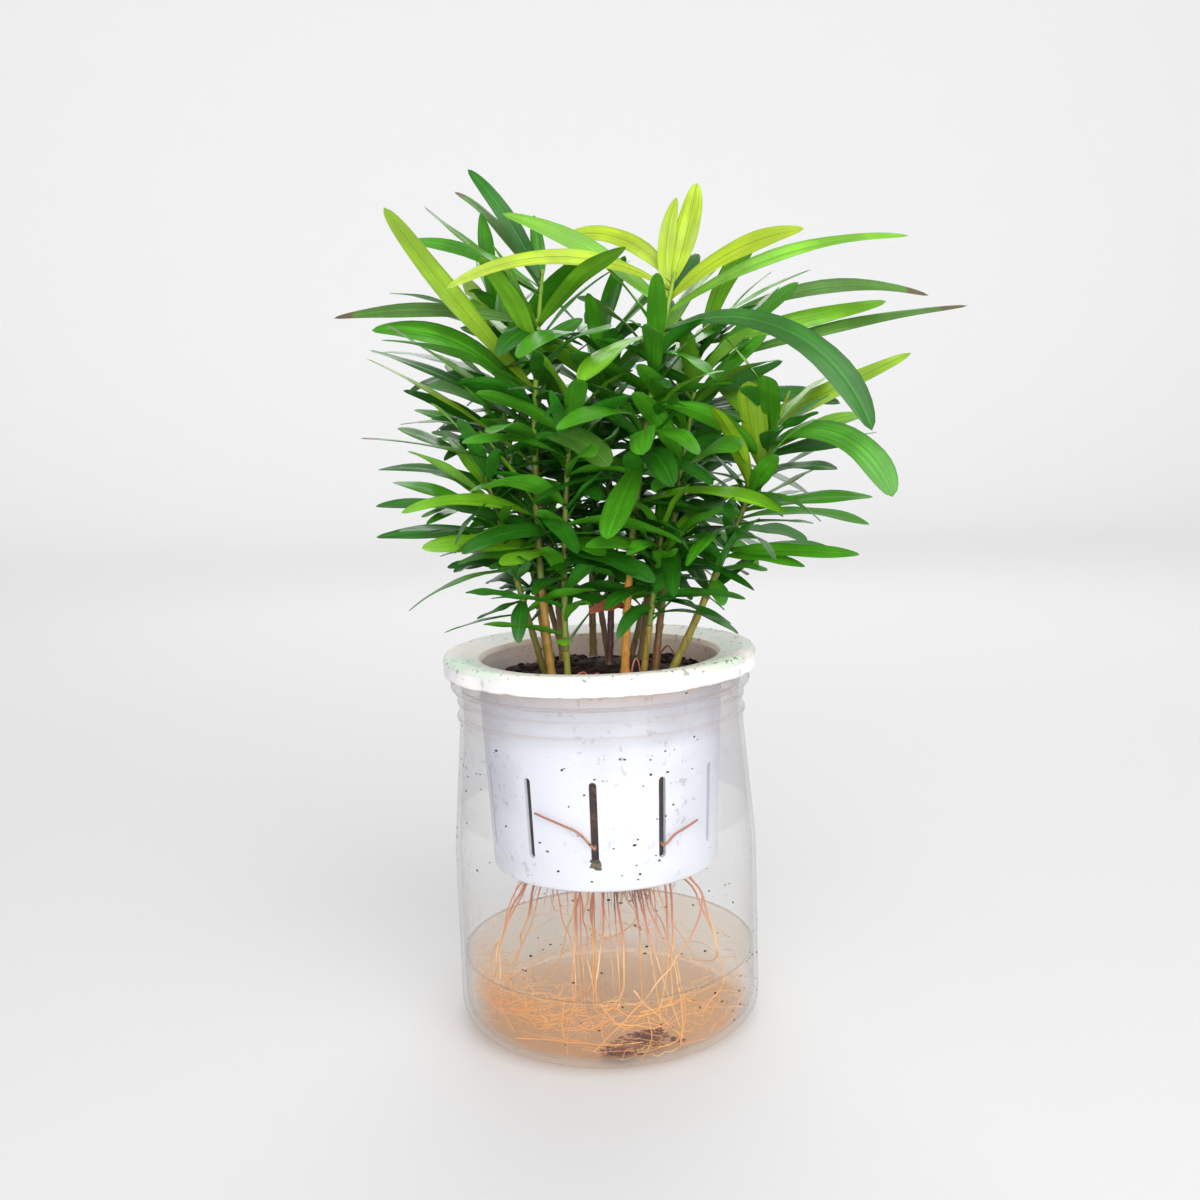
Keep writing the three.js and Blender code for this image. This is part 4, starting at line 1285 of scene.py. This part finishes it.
def hanging_fine(draw, start, end, near, far, lowest, highest, stray):
    angle = between(start, end, next(draw))
    radius = between(near, far, next(draw) ** 0.5)
    foot = between(lowest, highest, next(draw) ** 0.7)
    lean = (next(draw) - 0.3) * stray
    points = [round_point(radius, angle, POT_BOTTOM)]
    for k in (1, 2, 3, 4):
        share = k / 4
        out = radius + lean * share + 1.6 * noise.noise(Vector((angle, radius, 3 * share)))
        points.append(round_point(out, angle + lean * share, between(POT_BOTTOM, foot, share)))
    return points


# How far out, down and up a wandering root may get.
FARTHEST, LOWEST, HIGHEST = 46.6, 2.9, 23


def wandering_fine(draw, start, end, near, far, lowest, highest, stray):
    angle = between(start, end, next(draw))
    radius = between(near, far, next(draw) ** 0.7)
    height = between(lowest, highest, next(draw))
    run = (next(draw) - 0.5) * 2 * stray
    points = []
    for k in range(5):
        share = k / 4
        out = radius + 7 * noise.noise(Vector((angle, 3 * share, height)))
        up = height + 3 * noise.noise(Vector((radius, 3 * share, angle)))
        points.append(round_point(min(FARTHEST, out), angle + run * share, min(HIGHEST, max(LOWEST, up))))
    return points


def fine_roots():
    """Hair-fine roots: a curtain under the pot, and mats under the water's surface and on the floor."""
    root = settings("roots")
    draw = seeded(root.seed)
    paths = []
    for families, grow in ((HANGING_FAMILIES, hanging_fine), (WANDERING_FAMILIES, wandering_fine)):
        for count, *rule, girth in families:
            for _ in range(round(count * root.share)):
                path = in_metres(smooth_path(grow(draw, *rule), 2.0))
                paths.append(tapered(path, root.fine * girth * (0.6 + next(draw)), tip=0.5))
    for points, girth in LONG_ROOTS:
        path = in_metres(smooth_path(points, 1.5))
        swayed = [point + 0.8 * MM * sway(point * 160) for point in path]
        paths.append(tapered(swayed, 0.75 * root.girth * girth, tip=0.6))
    return paths


def make_roots():
    root = settings("roots")
    sweep = sweep_tree()
    inputs = {"Relief": 0.06 * MM, "Grain": 700.0, "Material": root_finish()}
    pieces = [
        (name + "_main", 7, [tapered(hanging_root(*row[:-1]), root.girth * row[-1]) for row in rows], name)
        for name, rows in ROOT_BUNCHES.items()]
    pieces += [
        (name + "_main", 8, [tapered(slot_root(*row), root.girth, tip=0.8)], name)
        for name, row in SLOT_ROOTS.items()]
    pieces += [("roots_fine", 4, fine_roots()), ("rootlets", 6, rootlets())]
    for name, sides, paths, *nodes in pieces:
        obj = run_through(paths_object(name, paths), sweep, Sides=sides, **inputs)
        finished(obj, "root", *nodes)


# Bare rootlets that arch out of the soil: both ends and the height of the arch.
ROOTLETS = (
    ((-9, -31), (-2, -27), 5.5),
    ((-4, -33), (1, -24), 4.5),
    ((9, -30), (13, -26), 9.0),
    ((-14, -27), (-6, -30), 3.2),
    ((3, -31), (10, -32), 2.6),
    ((-22, 14), (-15, 20), 5.0),
    ((20, 18), (27, 12), 4.5),
)


def rootlets():
    paths = []
    for (x0, y0), (x1, y1), height in ROOTLETS:
        low = Vector((x0, y0, soil_height(x0, y0) - 2))
        end = Vector((x1, y1, soil_height(x1, y1) - 2))
        points = []
        for k in range(7):
            share = k / 6
            bend = Vector((0, 0, (height + 2) * math.sin(math.pi * share) ** 0.7))
            points.append(low.lerp(end, share) + bend + 0.6 * sway(low + bend))
        paths.append(tapered(in_metres(smooth_path(points, 0.8)), 0.35 * MM, tip=0.7))
    return paths


# ---- Stems and shoots ----


def stem_curve(seedling):
    """Foot, knee and tip of a stem, which lead its curve."""
    foot = Vector((*seedling.foot, soil_height(*seedling.foot) + STEM_FOOT))
    return foot, Vector(seedling.knee), Vector(seedling.tip)


def curve_point(curve, share):
    start, knee, tip = curve
    return start.lerp(knee, share).lerp(knee.lerp(tip, share), share)


def share_at_height(curve, height):
    """How far along the curve it reaches a height, where the curve's height is a quadratic."""
    start, knee, tip = (point.z for point in curve)
    a, b, c = start - 2 * knee + tip, 2 * (knee - start), start - height
    if abs(a) < 1e-6:
        return -c / b
    return (-b + math.sqrt(b * b - 4 * a * c)) / (2 * a)


def point_at_height(seedling, height):
    curve = stem_curve(seedling)
    return curve_point(curve, share_at_height(curve, height))


def limb_path(name, start, end, flare=1.0, taper=1.0):
    """The stem's curve between two shares, in metres, with swellings at its nodes."""
    swelling = settings("stems").node
    seedling = SEEDLINGS[name]
    curve = stem_curve(seedling)
    steps = round((curve_point(curve, end) - curve_point(curve, start)).length / 0.9)
    pitch = 6.5 + 2.5 * noise.noise(Vector((len(name), 0.3, 0.7)))
    path = []
    for k in range(steps + 1):
        share = between(start, end, k / steps)
        point = curve_point(curve, share)
        node = swelling * math.exp(-((point.z / pitch) % 1 - 0.5) ** 2 / 0.012)
        foot = (flare - 1) * max(0.0, 1 - 8 * k / steps) ** 2
        girth = between(seedling.girth, STEM_TIP, share) * taper * (1 + node + foot)
        path.append((point * MM, girth * MM))
    return path


def make_stems():
    """The bare part of each stem."""
    stem = settings("stems")
    sweep = sweep_tree()
    inputs = {"Sides": stem.sides, "Relief": stem.relief * 2, "Grain": 1300.0}
    for name, seedling in SEEDLINGS.items():
        material = bark_finish("bark_" + name, *BARKS.get(name, PLAIN_BARK))
        end = share_at_height(stem_curve(seedling), seedling.bare)
        path = limb_path(name, 0, end, stem.flare)
        obj = run_through(paths_object("bark_" + name, [path]), sweep, Material=material, **inputs)
        finished(shade(obj, math.radians(60)), "stem", "stem_" + name)


def make_shoots():
    """The leafy part of each stem, up to its bud."""
    stem = settings("stems")
    material = bark_finish("young_bark", tint(120, 134, 48), tint(138, 176, 48), 190)
    paths = []
    for name, seedling in SEEDLINGS.items():
        start = share_at_height(stem_curve(seedling), seedling.bare + GAP)
        path = limb_path(name, start, 1, taper=SHOOT_TAPER)
        last = len(path)
        paths.append([(point, girth * (1 - 0.5 * (k / last) ** 4)) for k, (point, girth) in enumerate(path)])
    inputs = {"Sides": stem.sides - 4, "Relief": stem.relief, "Grain": 1300.0, "Material": material}
    obj = run_through(paths_object("shoots", paths), sweep_tree(), **inputs)
    finished(obj, "stem", *("foliage_" + name for name in SEEDLINGS))


# ---- Leaves ----


UPPER, RIB, UNDER = 0, 1, 2  # parts of a leaf
LEAF_COLUMNS = (-1.0, -0.55, -0.05, 0.05, 0.55, 1.0)  # across a leaf, in half widths


def leaf_blank(stations):
    """A flat leaf as a closed shell, whose vertices say how far along, across and under they are."""
    points, rows = [], []
    for i in range(stations):
        share = i / stations
        along = 0.35 * share + 0.65 * math.sin(math.pi / 2 * share) ** 1.15
        top = range(len(points), len(points) + len(LEAF_COLUMNS))
        points += [(along, across, 0) for across in LEAF_COLUMNS]
        under = range(len(points), len(points) + len(LEAF_COLUMNS) - 2)
        points += [(along, across, -1) for across in LEAF_COLUMNS[1:-1]]
        rows.append((tuple(top), (top[0], *under, top[-1])))
    tip = [len(points)] * len(LEAF_COLUMNS)
    points.append((1, 0, 0))
    rows.append((tip, tip))
    faces, parts, margin = [], [], set()
    spans = len(LEAF_COLUMNS) - 1
    for (top, low), (top_on, low_on) in zip(rows, rows[1:]):
        for k in range(spans):
            faces.append(face_of(top[k], top_on[k], top_on[k + 1], top[k + 1]))
            faces.append(face_of(low[k], low[k + 1], low_on[k + 1], low_on[k]))
            parts += [RIB if k == spans // 2 else UPPER, UNDER]
        margin |= {(top[0], top_on[0]), (top[-1], top_on[-1])}
    top, low = rows[0]
    faces.append((*top, *reversed(low[1:-1])))
    parts.append(UNDER)
    blank = outward(new_object("leaf_blank", points, faces=faces))
    attributes = blank.data.attributes
    for name, values in zip(("along", "across", "under"), zip(*points)):
        attributes.new(name, "FLOAT", "POINT").data.foreach_set("value", values)
    attributes.new("part", "INT", "FACE").data.foreach_set("value", parts)
    sharp = attributes.new("sharp_edge", "BOOLEAN", "EDGE")
    for edge in blank.data.edges:
        sharp.data[edge.index].value = tuple(sorted(edge.vertices)) in margin
    return blank


# What the rule of a leaf needs, angles first, and the sizes that all leaves share.
LEAF_RULE = ("heading", "rise", "droop", "length", "width", "turn")
LEAF_SIZES = {
    "Widest": "widest", "Blunt": "blunt", "Petiole": "petiole", "Thick": "thick", "Fold": "fold",
    "Curl": "gutter", "Wave": "wave",
}


def leaves_tree():
    """Grows a leaf on each point: it leaves its root at a heading and rise and droops evenly to its tip."""
    net = ShapeNet(
        "leaves", Blank="object", **dict.fromkeys(LEAF_SIZES, "number"), Upper="material", Rib="material",
        Under="material", Tip="material")
    blank = net.field("GeometryNodeObjectInfo", {"Object": net.given("Blank")}, output="Geometry")
    blades = net.field("GeometryNodeInstanceOnPoints", {"Points": net.given("Geometry"), "Instance": blank})
    blades = net.field("GeometryNodeRealizeInstances", {"Geometry": blades})
    heading, rise, droop, length, width, turn = (net.attribute(name) for name in LEAF_RULE)
    along, across, under = (net.attribute(name) for name in ("along", "across", "under"))
    here = rise - droop * along
    out = length / droop * (rise.sin() - here.sin())
    up = length / droop * (here.cos() - rise.cos())
    ahead = net.vector(heading.cos(), heading.sin(), 0.0)
    side = net.vector(heading.sin() * -1, heading.cos(), 0.0)
    above = net.vector(heading.cos() * here.sin() * -1, heading.sin() * here.sin() * -1, here.cos())
    spread = side.scaled(turn.cos()).plus(above.scaled(turn.sin()))
    face = above.scaled(turn.cos()).plus(side.scaled(turn.sin() * -1))
    breadth = width.ramp(5 * MM, 9 * MM)
    widest = breadth * 0.16 + net.given("Widest")
    rising = (((along / widest).smaller(1.0) * (math.pi / 2)).sin()) ** net.given("Blunt")
    roundness = breadth * 0.32 + 0.42
    ending = ((along - roundness) / (1 - roundness)).larger(0.0)
    fullness = rising * ((1 - ending * ending).larger(0.0) ** 0.55)
    stalk = net.given("Petiole") * ((1 - along) * 8).smaller(1.0)
    half = (width * fullness).larger(stalk) * 0.5
    edge = across * across
    ripple = (along * 11 + heading * 5 + across * 1.3).sin() * net.given("Wave") * edge * fullness
    wings = across.absolute() * net.given("Fold") - edge * net.given("Curl")
    lift = ripple + wings * half + under * net.given("Thick") * (1 - along * 0.6)
    place = net.attribute("root", "FLOAT_VECTOR").plus(
        ahead.scaled(out), net.vector(0.0, 0.0, up), spread.scaled(across * half), face.scaled(lift))
    blades = net.field("GeometryNodeSetPosition", {"Geometry": blades, "Position": place})
    part = net.attribute("part", "INT")
    return net.finish(blades, [
        (net.given("Upper"), None),
        (net.given("Rib"), part.equals(RIB)),
        (net.given("Under"), part.equals(UNDER)),
        (net.given("Tip"), net.attribute("brown").over(0.5) * along.over(0.9)),
    ])


def droop_of(leaf):
    """A leaf that droops by nothing would have no centre to bend round, so it droops by a degree."""
    return math.radians(leaf["droop"] if abs(leaf["droop"]) >= 1 else 1)


def leaf_tip(leaf):
    """Where the leaf's middle line ends, in millimetres."""
    rise, droop = math.radians(leaf["rise"]), droop_of(leaf)
    radius = leaf["length"] / droop
    out = radius * (math.sin(rise) - math.sin(rise - droop))
    up = radius * (math.cos(rise - droop) - math.cos(rise))
    return leaf["root"] + round_point(out, leaf["heading"], up)


def leading_leaves(name, table):
    for height, *rule, tone in table.get(name, ()):
        yield {"root": point_at_height(SEEDLINGS[name], height), **dict(zip(LEAF_RULE, rule)), "tone": tone}


def spiral_leaves(name, seed):
    """The rest of a shoot's leaves, in a spiral: short and flat below, longest half-way, steep at the tip."""
    seedling, rule = SEEDLINGS[name], SPIRAL
    least, (phase, phase_run) = rule["least_length"], rule["phase"]
    (rise, rise_run), (droop, droop_run) = rule["rise"], rule["droop"]
    draw = seeded(seed)

    def spread(width):
        return (next(draw) - 0.5) * width

    first = next(draw) * 360
    for i in range(seedling.count):
        share = (i + 0.5) / seedling.count
        fullness = least + (1 - least) * math.sin(math.pi * (phase + phase_run * share))
        length = seedling.longest * fullness + spread(rule["length_spread"])
        yield {
            "root": point_at_height(seedling, between(seedling.lowest, seedling.highest, share)),
            "heading": first + rule["step"] * i + spread(rule["step_spread"]),
            "rise": rise + rise_run * share ** rule["rise_curve"] + spread(rule["rise_spread"]),
            "droop": droop + droop_run * share + spread(rule["droop_spread"]),
            "length": length,
            "width": rule["least_width"] + rule["width_by_length"] * length + spread(rule["width_spread"]),
            "turn": spread(rule["turn_spread"]),
            "share": share,
        }


def tips_of(name):
    """The corners of a mass's solid, in millimetres, to look a leaf's tip up in."""
    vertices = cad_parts["foliage_" + name].data.vertices
    tree = kdtree.KDTree(len(vertices))
    for vertex in vertices:
        tree.insert(vertex.co / MM, vertex.index)
    tree.balance()
    return tree


def tone_of(leaf, seedling, chance):
    """Leaves near the tip of a seedling in front are bright and old ones dark; the leaves of the seedlings
    behind get darker tones as painted shade of the back of the crown.
    """
    behind = seedling.foot[1] > -10
    # Seedlings behind are made darker: painted shade of the back of the crown.
    youth = leaf["share"] + 0.5 * (chance - 0.5) - (0.25 if behind else 0)
    if youth > 0.8:
        return "bright"
    return "mid" if youth > 0.3 else "dark"


def filler_leaves(seedling, draw):
    """Short leaves between the others, three in four of them dark as painted shade inside the crown."""
    for i in range(FILLERS["count"]):
        share = (i + next(draw)) / FILLERS["count"]
        root = point_at_height(seedling, between(seedling.bare + 1, seedling.highest, share))
        sizes = {key: between(*FILLERS[key], next(draw)) for key in ("length", "width", "rise", "droop")}
        # Three in four are dark, a painted shade of the crown's inside.
        yield {
            "root": root, "heading": SPIRAL["step"] * i + 60 * next(draw), "turn": 80 * (next(draw) - 0.5),
            "tone": "dark" if next(draw) < 0.75 else "mid", **sizes}


def kept_leaf(leaf, tips):
    """The leaf as the CAD model has it, turned aside and shortened step by step, or None."""
    for t in range(TRIES):
        sidestep = SIDESTEP * math.ceil(t / 2) * (1 if t % 2 else -1)
        tried = {
            **leaf, "heading": leaf["heading"] + sidestep, "length": leaf["length"] * (1 - SHORTENING * t)}
        if tips.find(leaf_tip(tried))[2] < TIP_FOUND:
            return tried
    return None


def grown_leaves():
    """Every leaf that the CAD model's masses have, found again by the same rule, and short ones between."""
    leaves = []
    for seed, (name, seedling) in enumerate(SEEDLINGS.items(), 1):
        tips = tips_of(name)
        draw = seeded(100 + seed)
        leaves += leading_leaves(name, LEADING)
        leaves += leading_leaves(name, STRAY)
        leaves += filler_leaves(seedling, draw)
        for leaf in spiral_leaves(name, seed):
            tone = tone_of(leaf, seedling, next(draw))
            kept = kept_leaf(leaf, tips)
            if kept:
                leaves.append({**kept, "tone": tone})
    return leaves


def points_of_leaves(name, leaves):
    """One point for each leaf, with what its rule needs in metres and radians."""
    obj = new_object(name, [leaf["root"] * MM for leaf in leaves])
    attributes = obj.data.attributes
    roots = [value for leaf in leaves for value in leaf["root"] * MM]
    attributes.new("root", "FLOAT_VECTOR", "POINT").data.foreach_set("vector", roots)
    columns = {
        "heading": [math.radians(leaf["heading"]) for leaf in leaves],
        "rise": [math.radians(leaf["rise"]) for leaf in leaves],
        "droop": [droop_of(leaf) for leaf in leaves],
        "length": [leaf["length"] * MM for leaf in leaves],
        "width": [leaf["width"] * MM for leaf in leaves],
        "turn": [math.radians(leaf["turn"] * (-1 if to_left(leaf) else 1)) for leaf in leaves],
        "brown": [float(leaf["tone"] == "dull" and leaf["width"] < 6.3) for leaf in leaves],
    }
    for label, values in columns.items():
        attributes.new(label, "FLOAT", "POINT").data.foreach_set("value", values)
    return obj


def to_left(leaf):
    return math.cos(math.radians(leaf["heading"])) < 0


# What a leaf needs on the mesh while it grows, and nothing needs afterwards.
SPENT_LAYERS = ("under", "part", "root", "brown", *LEAF_RULE[1:])

# The colours of rib and underside, as shares of the blade's.
TONES = {
    "lime": (0.6, 0.9),
    "bright": (1.2, 0.95),
    "mid": (1.35, 1.2),
    "dark": (1.6, 1.6),
    "olive": (0.75, 1.2),
    "dull": (1.4, 1.4),
    "dead": (0.6, 0.8),
}


def make_leaves():
    """One piece for each tone of leaf."""
    leaf = settings("leaves")
    grown = grown_leaves()
    blank = leaf_blank(leaf.stations)
    tree = leaves_tree()
    tip = leaf_finish("leaf_tip", tint(112, 96, 62))
    sizes = {label: getattr(leaf, size) for label, size in LEAF_SIZES.items()}
    for tone, (rib, under) in TONES.items():
        colour = tuple(getattr(leaf, tone))
        obj = points_of_leaves("leaves_" + tone, [one for one in grown if one["tone"] == tone])
        run_through(
            obj, tree, Blank=blank, **sizes, Tip=tip,
            Upper=leaf_finish("leaf_" + tone, colour),
            Rib=leaf_finish("midrib_" + tone, scaled(colour, rib)),
            Under=leaf_finish("underside_" + tone, scaled(colour, under), gloss=0.5))
        for label in SPENT_LAYERS:
            obj.data.attributes.remove(obj.data.attributes[label])
        finished(obj, "foliage")
    bpy.data.objects.remove(blank)


# ---- Dirt ----


def make_specks():
    """Dirt specks on the jar's wall and on the flange, silt on the jar's floor, and a plug in a slot."""
    jar = settings("jar")
    material = dirt_finish()
    wall = [p for p in jar_outline() if p.x > jar.neck - 0.5 * MM and 4 * MM < p.y < jar.height][:24]
    flange = [p for p in pot_outline() if p.x > 41 * MM and p.y > 119 * MM]
    silt = [(radius * MM, jar.floor + 0.35 * MM) for radius in (26, 30, 35, 40)]
    plug = [(pot_radius(height) * MM, height * MM) for height in (61.8, 63.2, 64.6)]
    places = (
        # name, outline, degrees from and to, specks per square metre, smallest, largest, patches, seed
        ("specks_jar", wall, (0, 360), jar.specks * 1e4, 0.12, 0.42, 30.0, 11),
        ("specks_flange", flange, (0, 360), jar.specks * 4e4, 0.1, 0.34, 50.0, 4),
        ("silt", silt, (264, 306), 420e4, 0.3, 0.9, 45.0, 9),
        ("slot_plug", plug, (263.1, 266.9), 4800e4, 0.3, 0.6, 700.0, 2),
    )
    tree = grains_tree()
    for name, outline, turn, density, smallest, largest, patches, seed in places:
        host = ribbon(name, outline, *turn)
        run_through(
            host, tree, Density=density, Smallest=smallest * MM, Largest=largest * MM, Squash=0.35,
            Patches=patches, Detail=1, Seed=seed, Material=material)
        finished(host, "potting_soil")


def ribbon(name, outline, start, end, sides=96):
    """An open skin turned round the Z axis between two headings, to scatter grains over."""
    points, faces = [], []
    for r, z in outline:
        points += [round_point(r, between(start, end, k / sides), z) for k in range(sides + 1)]
    for ring in range(len(outline) - 1):
        low, high = ring * (sides + 1), (ring + 1) * (sides + 1)
        faces += [(low + k, low + k + 1, high + k + 1, high + k) for k in range(sides)]
    return new_object(name, points, faces=faces)


# ---- Stage ----


FLOOR_REACH, WALL_CURVE = 2.0, 1.6  # metres out to where the floor turns up, and the turn's radius
FLOOR_SIDES = 64
AIM = Vector((0, 0, 0.14))


def make_floor():
    """A pale floor that curves up into a wall far from the object, all round."""
    outline = [(0.6, 0), (1.2, 0), (FLOOR_REACH, 0)]
    for k in range(1, 13):
        angle = math.pi * k / 24
        outline.append((FLOOR_REACH + WALL_CURVE * math.sin(angle), WALL_CURVE * (1 - math.cos(angle))))
    low = -0.2 * MM
    points, faces = [(0, 0, low)], []
    for r, z in outline:
        points += [round_point(r, 360 * k / FLOOR_SIDES, z + low) for k in range(FLOOR_SIDES)]
    for k in range(FLOOR_SIDES):
        j = (k + 1) % FLOOR_SIDES
        faces.append((0, 1 + k, 1 + j))
        for ring in range(len(outline) - 1):
            near = 1 + ring * FLOOR_SIDES
            far = near + FLOOR_SIDES
            faces.append((near + k, far + k, far + j, near + j))
    floor = shade(new_object("floor", points, faces=faces))
    floor.data.materials.append(floor_finish())


def area_light(name, place, power, size, target=AIM):
    light = bpy.data.lights.new(name, "AREA")
    light.energy = power
    light.shape = "RECTANGLE"
    light.size, light.size_y = size
    obj = bpy.data.objects.new(name, light)
    bpy.context.scene.collection.objects.link(obj)
    turn = (Vector(target) - Vector(place)).to_track_quat("-Z", "Y").to_matrix().to_4x4()
    obj.matrix_world = Matrix.Translation(place) @ turn


def make_lights():
    stage = settings("stage")
    area_light("key_light", (0.28, -0.85, 1.0), stage.key, (1.2, 1.2))
    area_light("fill_light", (0.1, -1.1, 0.4), 1.8 * stage.fill, (1.5, 0.5))
    area_light("back_light", (0.1, 0.95, 0.9), 1.5 * stage.fill, (1.2, 0.6))
    area_light("wall_light", (0, 1.6, 1.6), stage.backdrop, (3.0, 0.4), target=(0, 3.6, 0.6))
    world = bpy.data.worlds.new("sky")
    world.use_nodes = True
    inputs = world.node_tree.nodes["Background"].inputs
    inputs["Color"].default_value = (0.99, 0.99, 1.0, 1)
    inputs["Strength"].default_value = stage.sky
    bpy.context.scene.world = world


def make_camera():
    stage = settings("stage")
    camera = bpy.data.cameras.new("camera")
    camera.lens = stage.lens
    camera.sensor_width = 36
    camera.clip_start = 0.01
    eye = bpy.data.objects.new("camera", camera)
    scene = bpy.context.scene
    scene.collection.objects.link(eye)
    ahead = Vector((0, math.cos(stage.pitch), -math.sin(stage.pitch)))
    up = X_AXIS.cross(ahead)
    leant_right = X_AXIS * math.cos(stage.roll) - up * math.sin(stage.roll)
    leant_up = up * math.cos(stage.roll) + X_AXIS * math.sin(stage.roll)
    turn = Matrix((leant_right, leant_up, -ahead)).transposed().to_4x4()
    eye.matrix_world = Matrix.Translation(stage.eye) @ turn
    scene.camera = eye


def make_stage():
    make_floor()
    make_lights()
    make_camera()
    scene = bpy.context.scene
    scene.cycles.transparent_max_bounces = 64
    scene.view_settings.view_transform = "Standard"
    scene.view_settings.look = "None"


# ---- Add-on ----


class PODOCARPUS_OT_jar(bpy.types.Operator):
    """Make the clear jar"""

    bl_idname = "podocarpus.jar"
    bl_label = "Jar"

    def execute(self, context):
        make_jar()
        return {"FINISHED"}


class PODOCARPUS_OT_pot(bpy.types.Operator):
    """Make the white slotted pot"""

    bl_idname = "podocarpus.pot"
    bl_label = "Slotted pot"

    def execute(self, context):
        make_pot()
        return {"FINISHED"}


class PODOCARPUS_OT_soil(bpy.types.Operator):
    """Make the soil and its crumbs"""

    bl_idname = "podocarpus.soil"
    bl_label = "Soil"

    def execute(self, context):
        make_soil()
        return {"FINISHED"}


class PODOCARPUS_OT_water(bpy.types.Operator):
    """Make the water in the jar"""

    bl_idname = "podocarpus.water"
    bl_label = "Water"

    def execute(self, context):
        make_water()
        return {"FINISHED"}


class PODOCARPUS_OT_roots(bpy.types.Operator):
    """Make the main and fine roots"""

    bl_idname = "podocarpus.roots"
    bl_label = "Roots"

    def execute(self, context):
        make_roots()
        return {"FINISHED"}


class PODOCARPUS_OT_specks(bpy.types.Operator):
    """Make the dirt specks"""

    bl_idname = "podocarpus.specks"
    bl_label = "Dirt specks"

    def execute(self, context):
        make_specks()
        return {"FINISHED"}


class PODOCARPUS_OT_stems(bpy.types.Operator):
    """Make the bare stems and the leafy shoots"""

    bl_idname = "podocarpus.stems"
    bl_label = "Stems and shoots"

    def execute(self, context):
        make_stems()
        make_shoots()
        return {"FINISHED"}


class PODOCARPUS_OT_leaves(bpy.types.Operator):
    """Make the leaves, tone by tone"""

    bl_idname = "podocarpus.leaves"
    bl_label = "Leaves"

    def execute(self, context):
        make_leaves()
        return {"FINISHED"}


class PODOCARPUS_OT_stage(bpy.types.Operator):
    """Make the floor, the lights and the camera"""

    bl_idname = "podocarpus.stage"
    bl_label = "Stage"

    def execute(self, context):
        make_stage()
        return {"FINISHED"}


OPERATORS = (
    PODOCARPUS_OT_jar,
    PODOCARPUS_OT_pot,
    PODOCARPUS_OT_soil,
    PODOCARPUS_OT_water,
    PODOCARPUS_OT_roots,
    PODOCARPUS_OT_specks,
    PODOCARPUS_OT_stems,
    PODOCARPUS_OT_leaves,
    PODOCARPUS_OT_stage,
)


class PODOCARPUS_PT_panel(bpy.types.Panel):
    """Lists the pieces with their sizes and colours"""

    bl_label = "Podocarpus"
    bl_idname = "PODOCARPUS_PT_panel"
    bl_space_type = "VIEW_3D"
    bl_region_type = "UI"
    bl_category = "Podocarpus"

    def draw(self, context):
        for operator in OPERATORS:
            self.layout.operator(operator.bl_idname)
        for name, group in SETTINGS.items():
            box = self.layout.box()
            box.label(text=name.capitalize())
            for label in group.__annotations__:
                box.prop(getattr(context.scene, "podocarpus_" + name), label)


def register():
    for group in SETTINGS.values():
        bpy.utils.register_class(group)
    for name, group in SETTINGS.items():
        setattr(bpy.types.Scene, "podocarpus_" + name, PointerProperty(type=group))
    for operator in OPERATORS:
        bpy.utils.register_class(operator)
    bpy.utils.register_class(PODOCARPUS_PT_panel)


def unregister():
    bpy.utils.unregister_class(PODOCARPUS_PT_panel)
    for operator in reversed(OPERATORS):
        bpy.utils.unregister_class(operator)
    for name, group in SETTINGS.items():
        delattr(bpy.types.Scene, "podocarpus_" + name)
        bpy.utils.unregister_class(group)


def main():
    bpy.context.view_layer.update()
    register()
    for operator in OPERATORS:
        space, name = operator.bl_idname.split(".")
        getattr(getattr(bpy.ops, space), name)()
    bpy.context.view_layer.update()


if __name__ == "__main__":
    main()
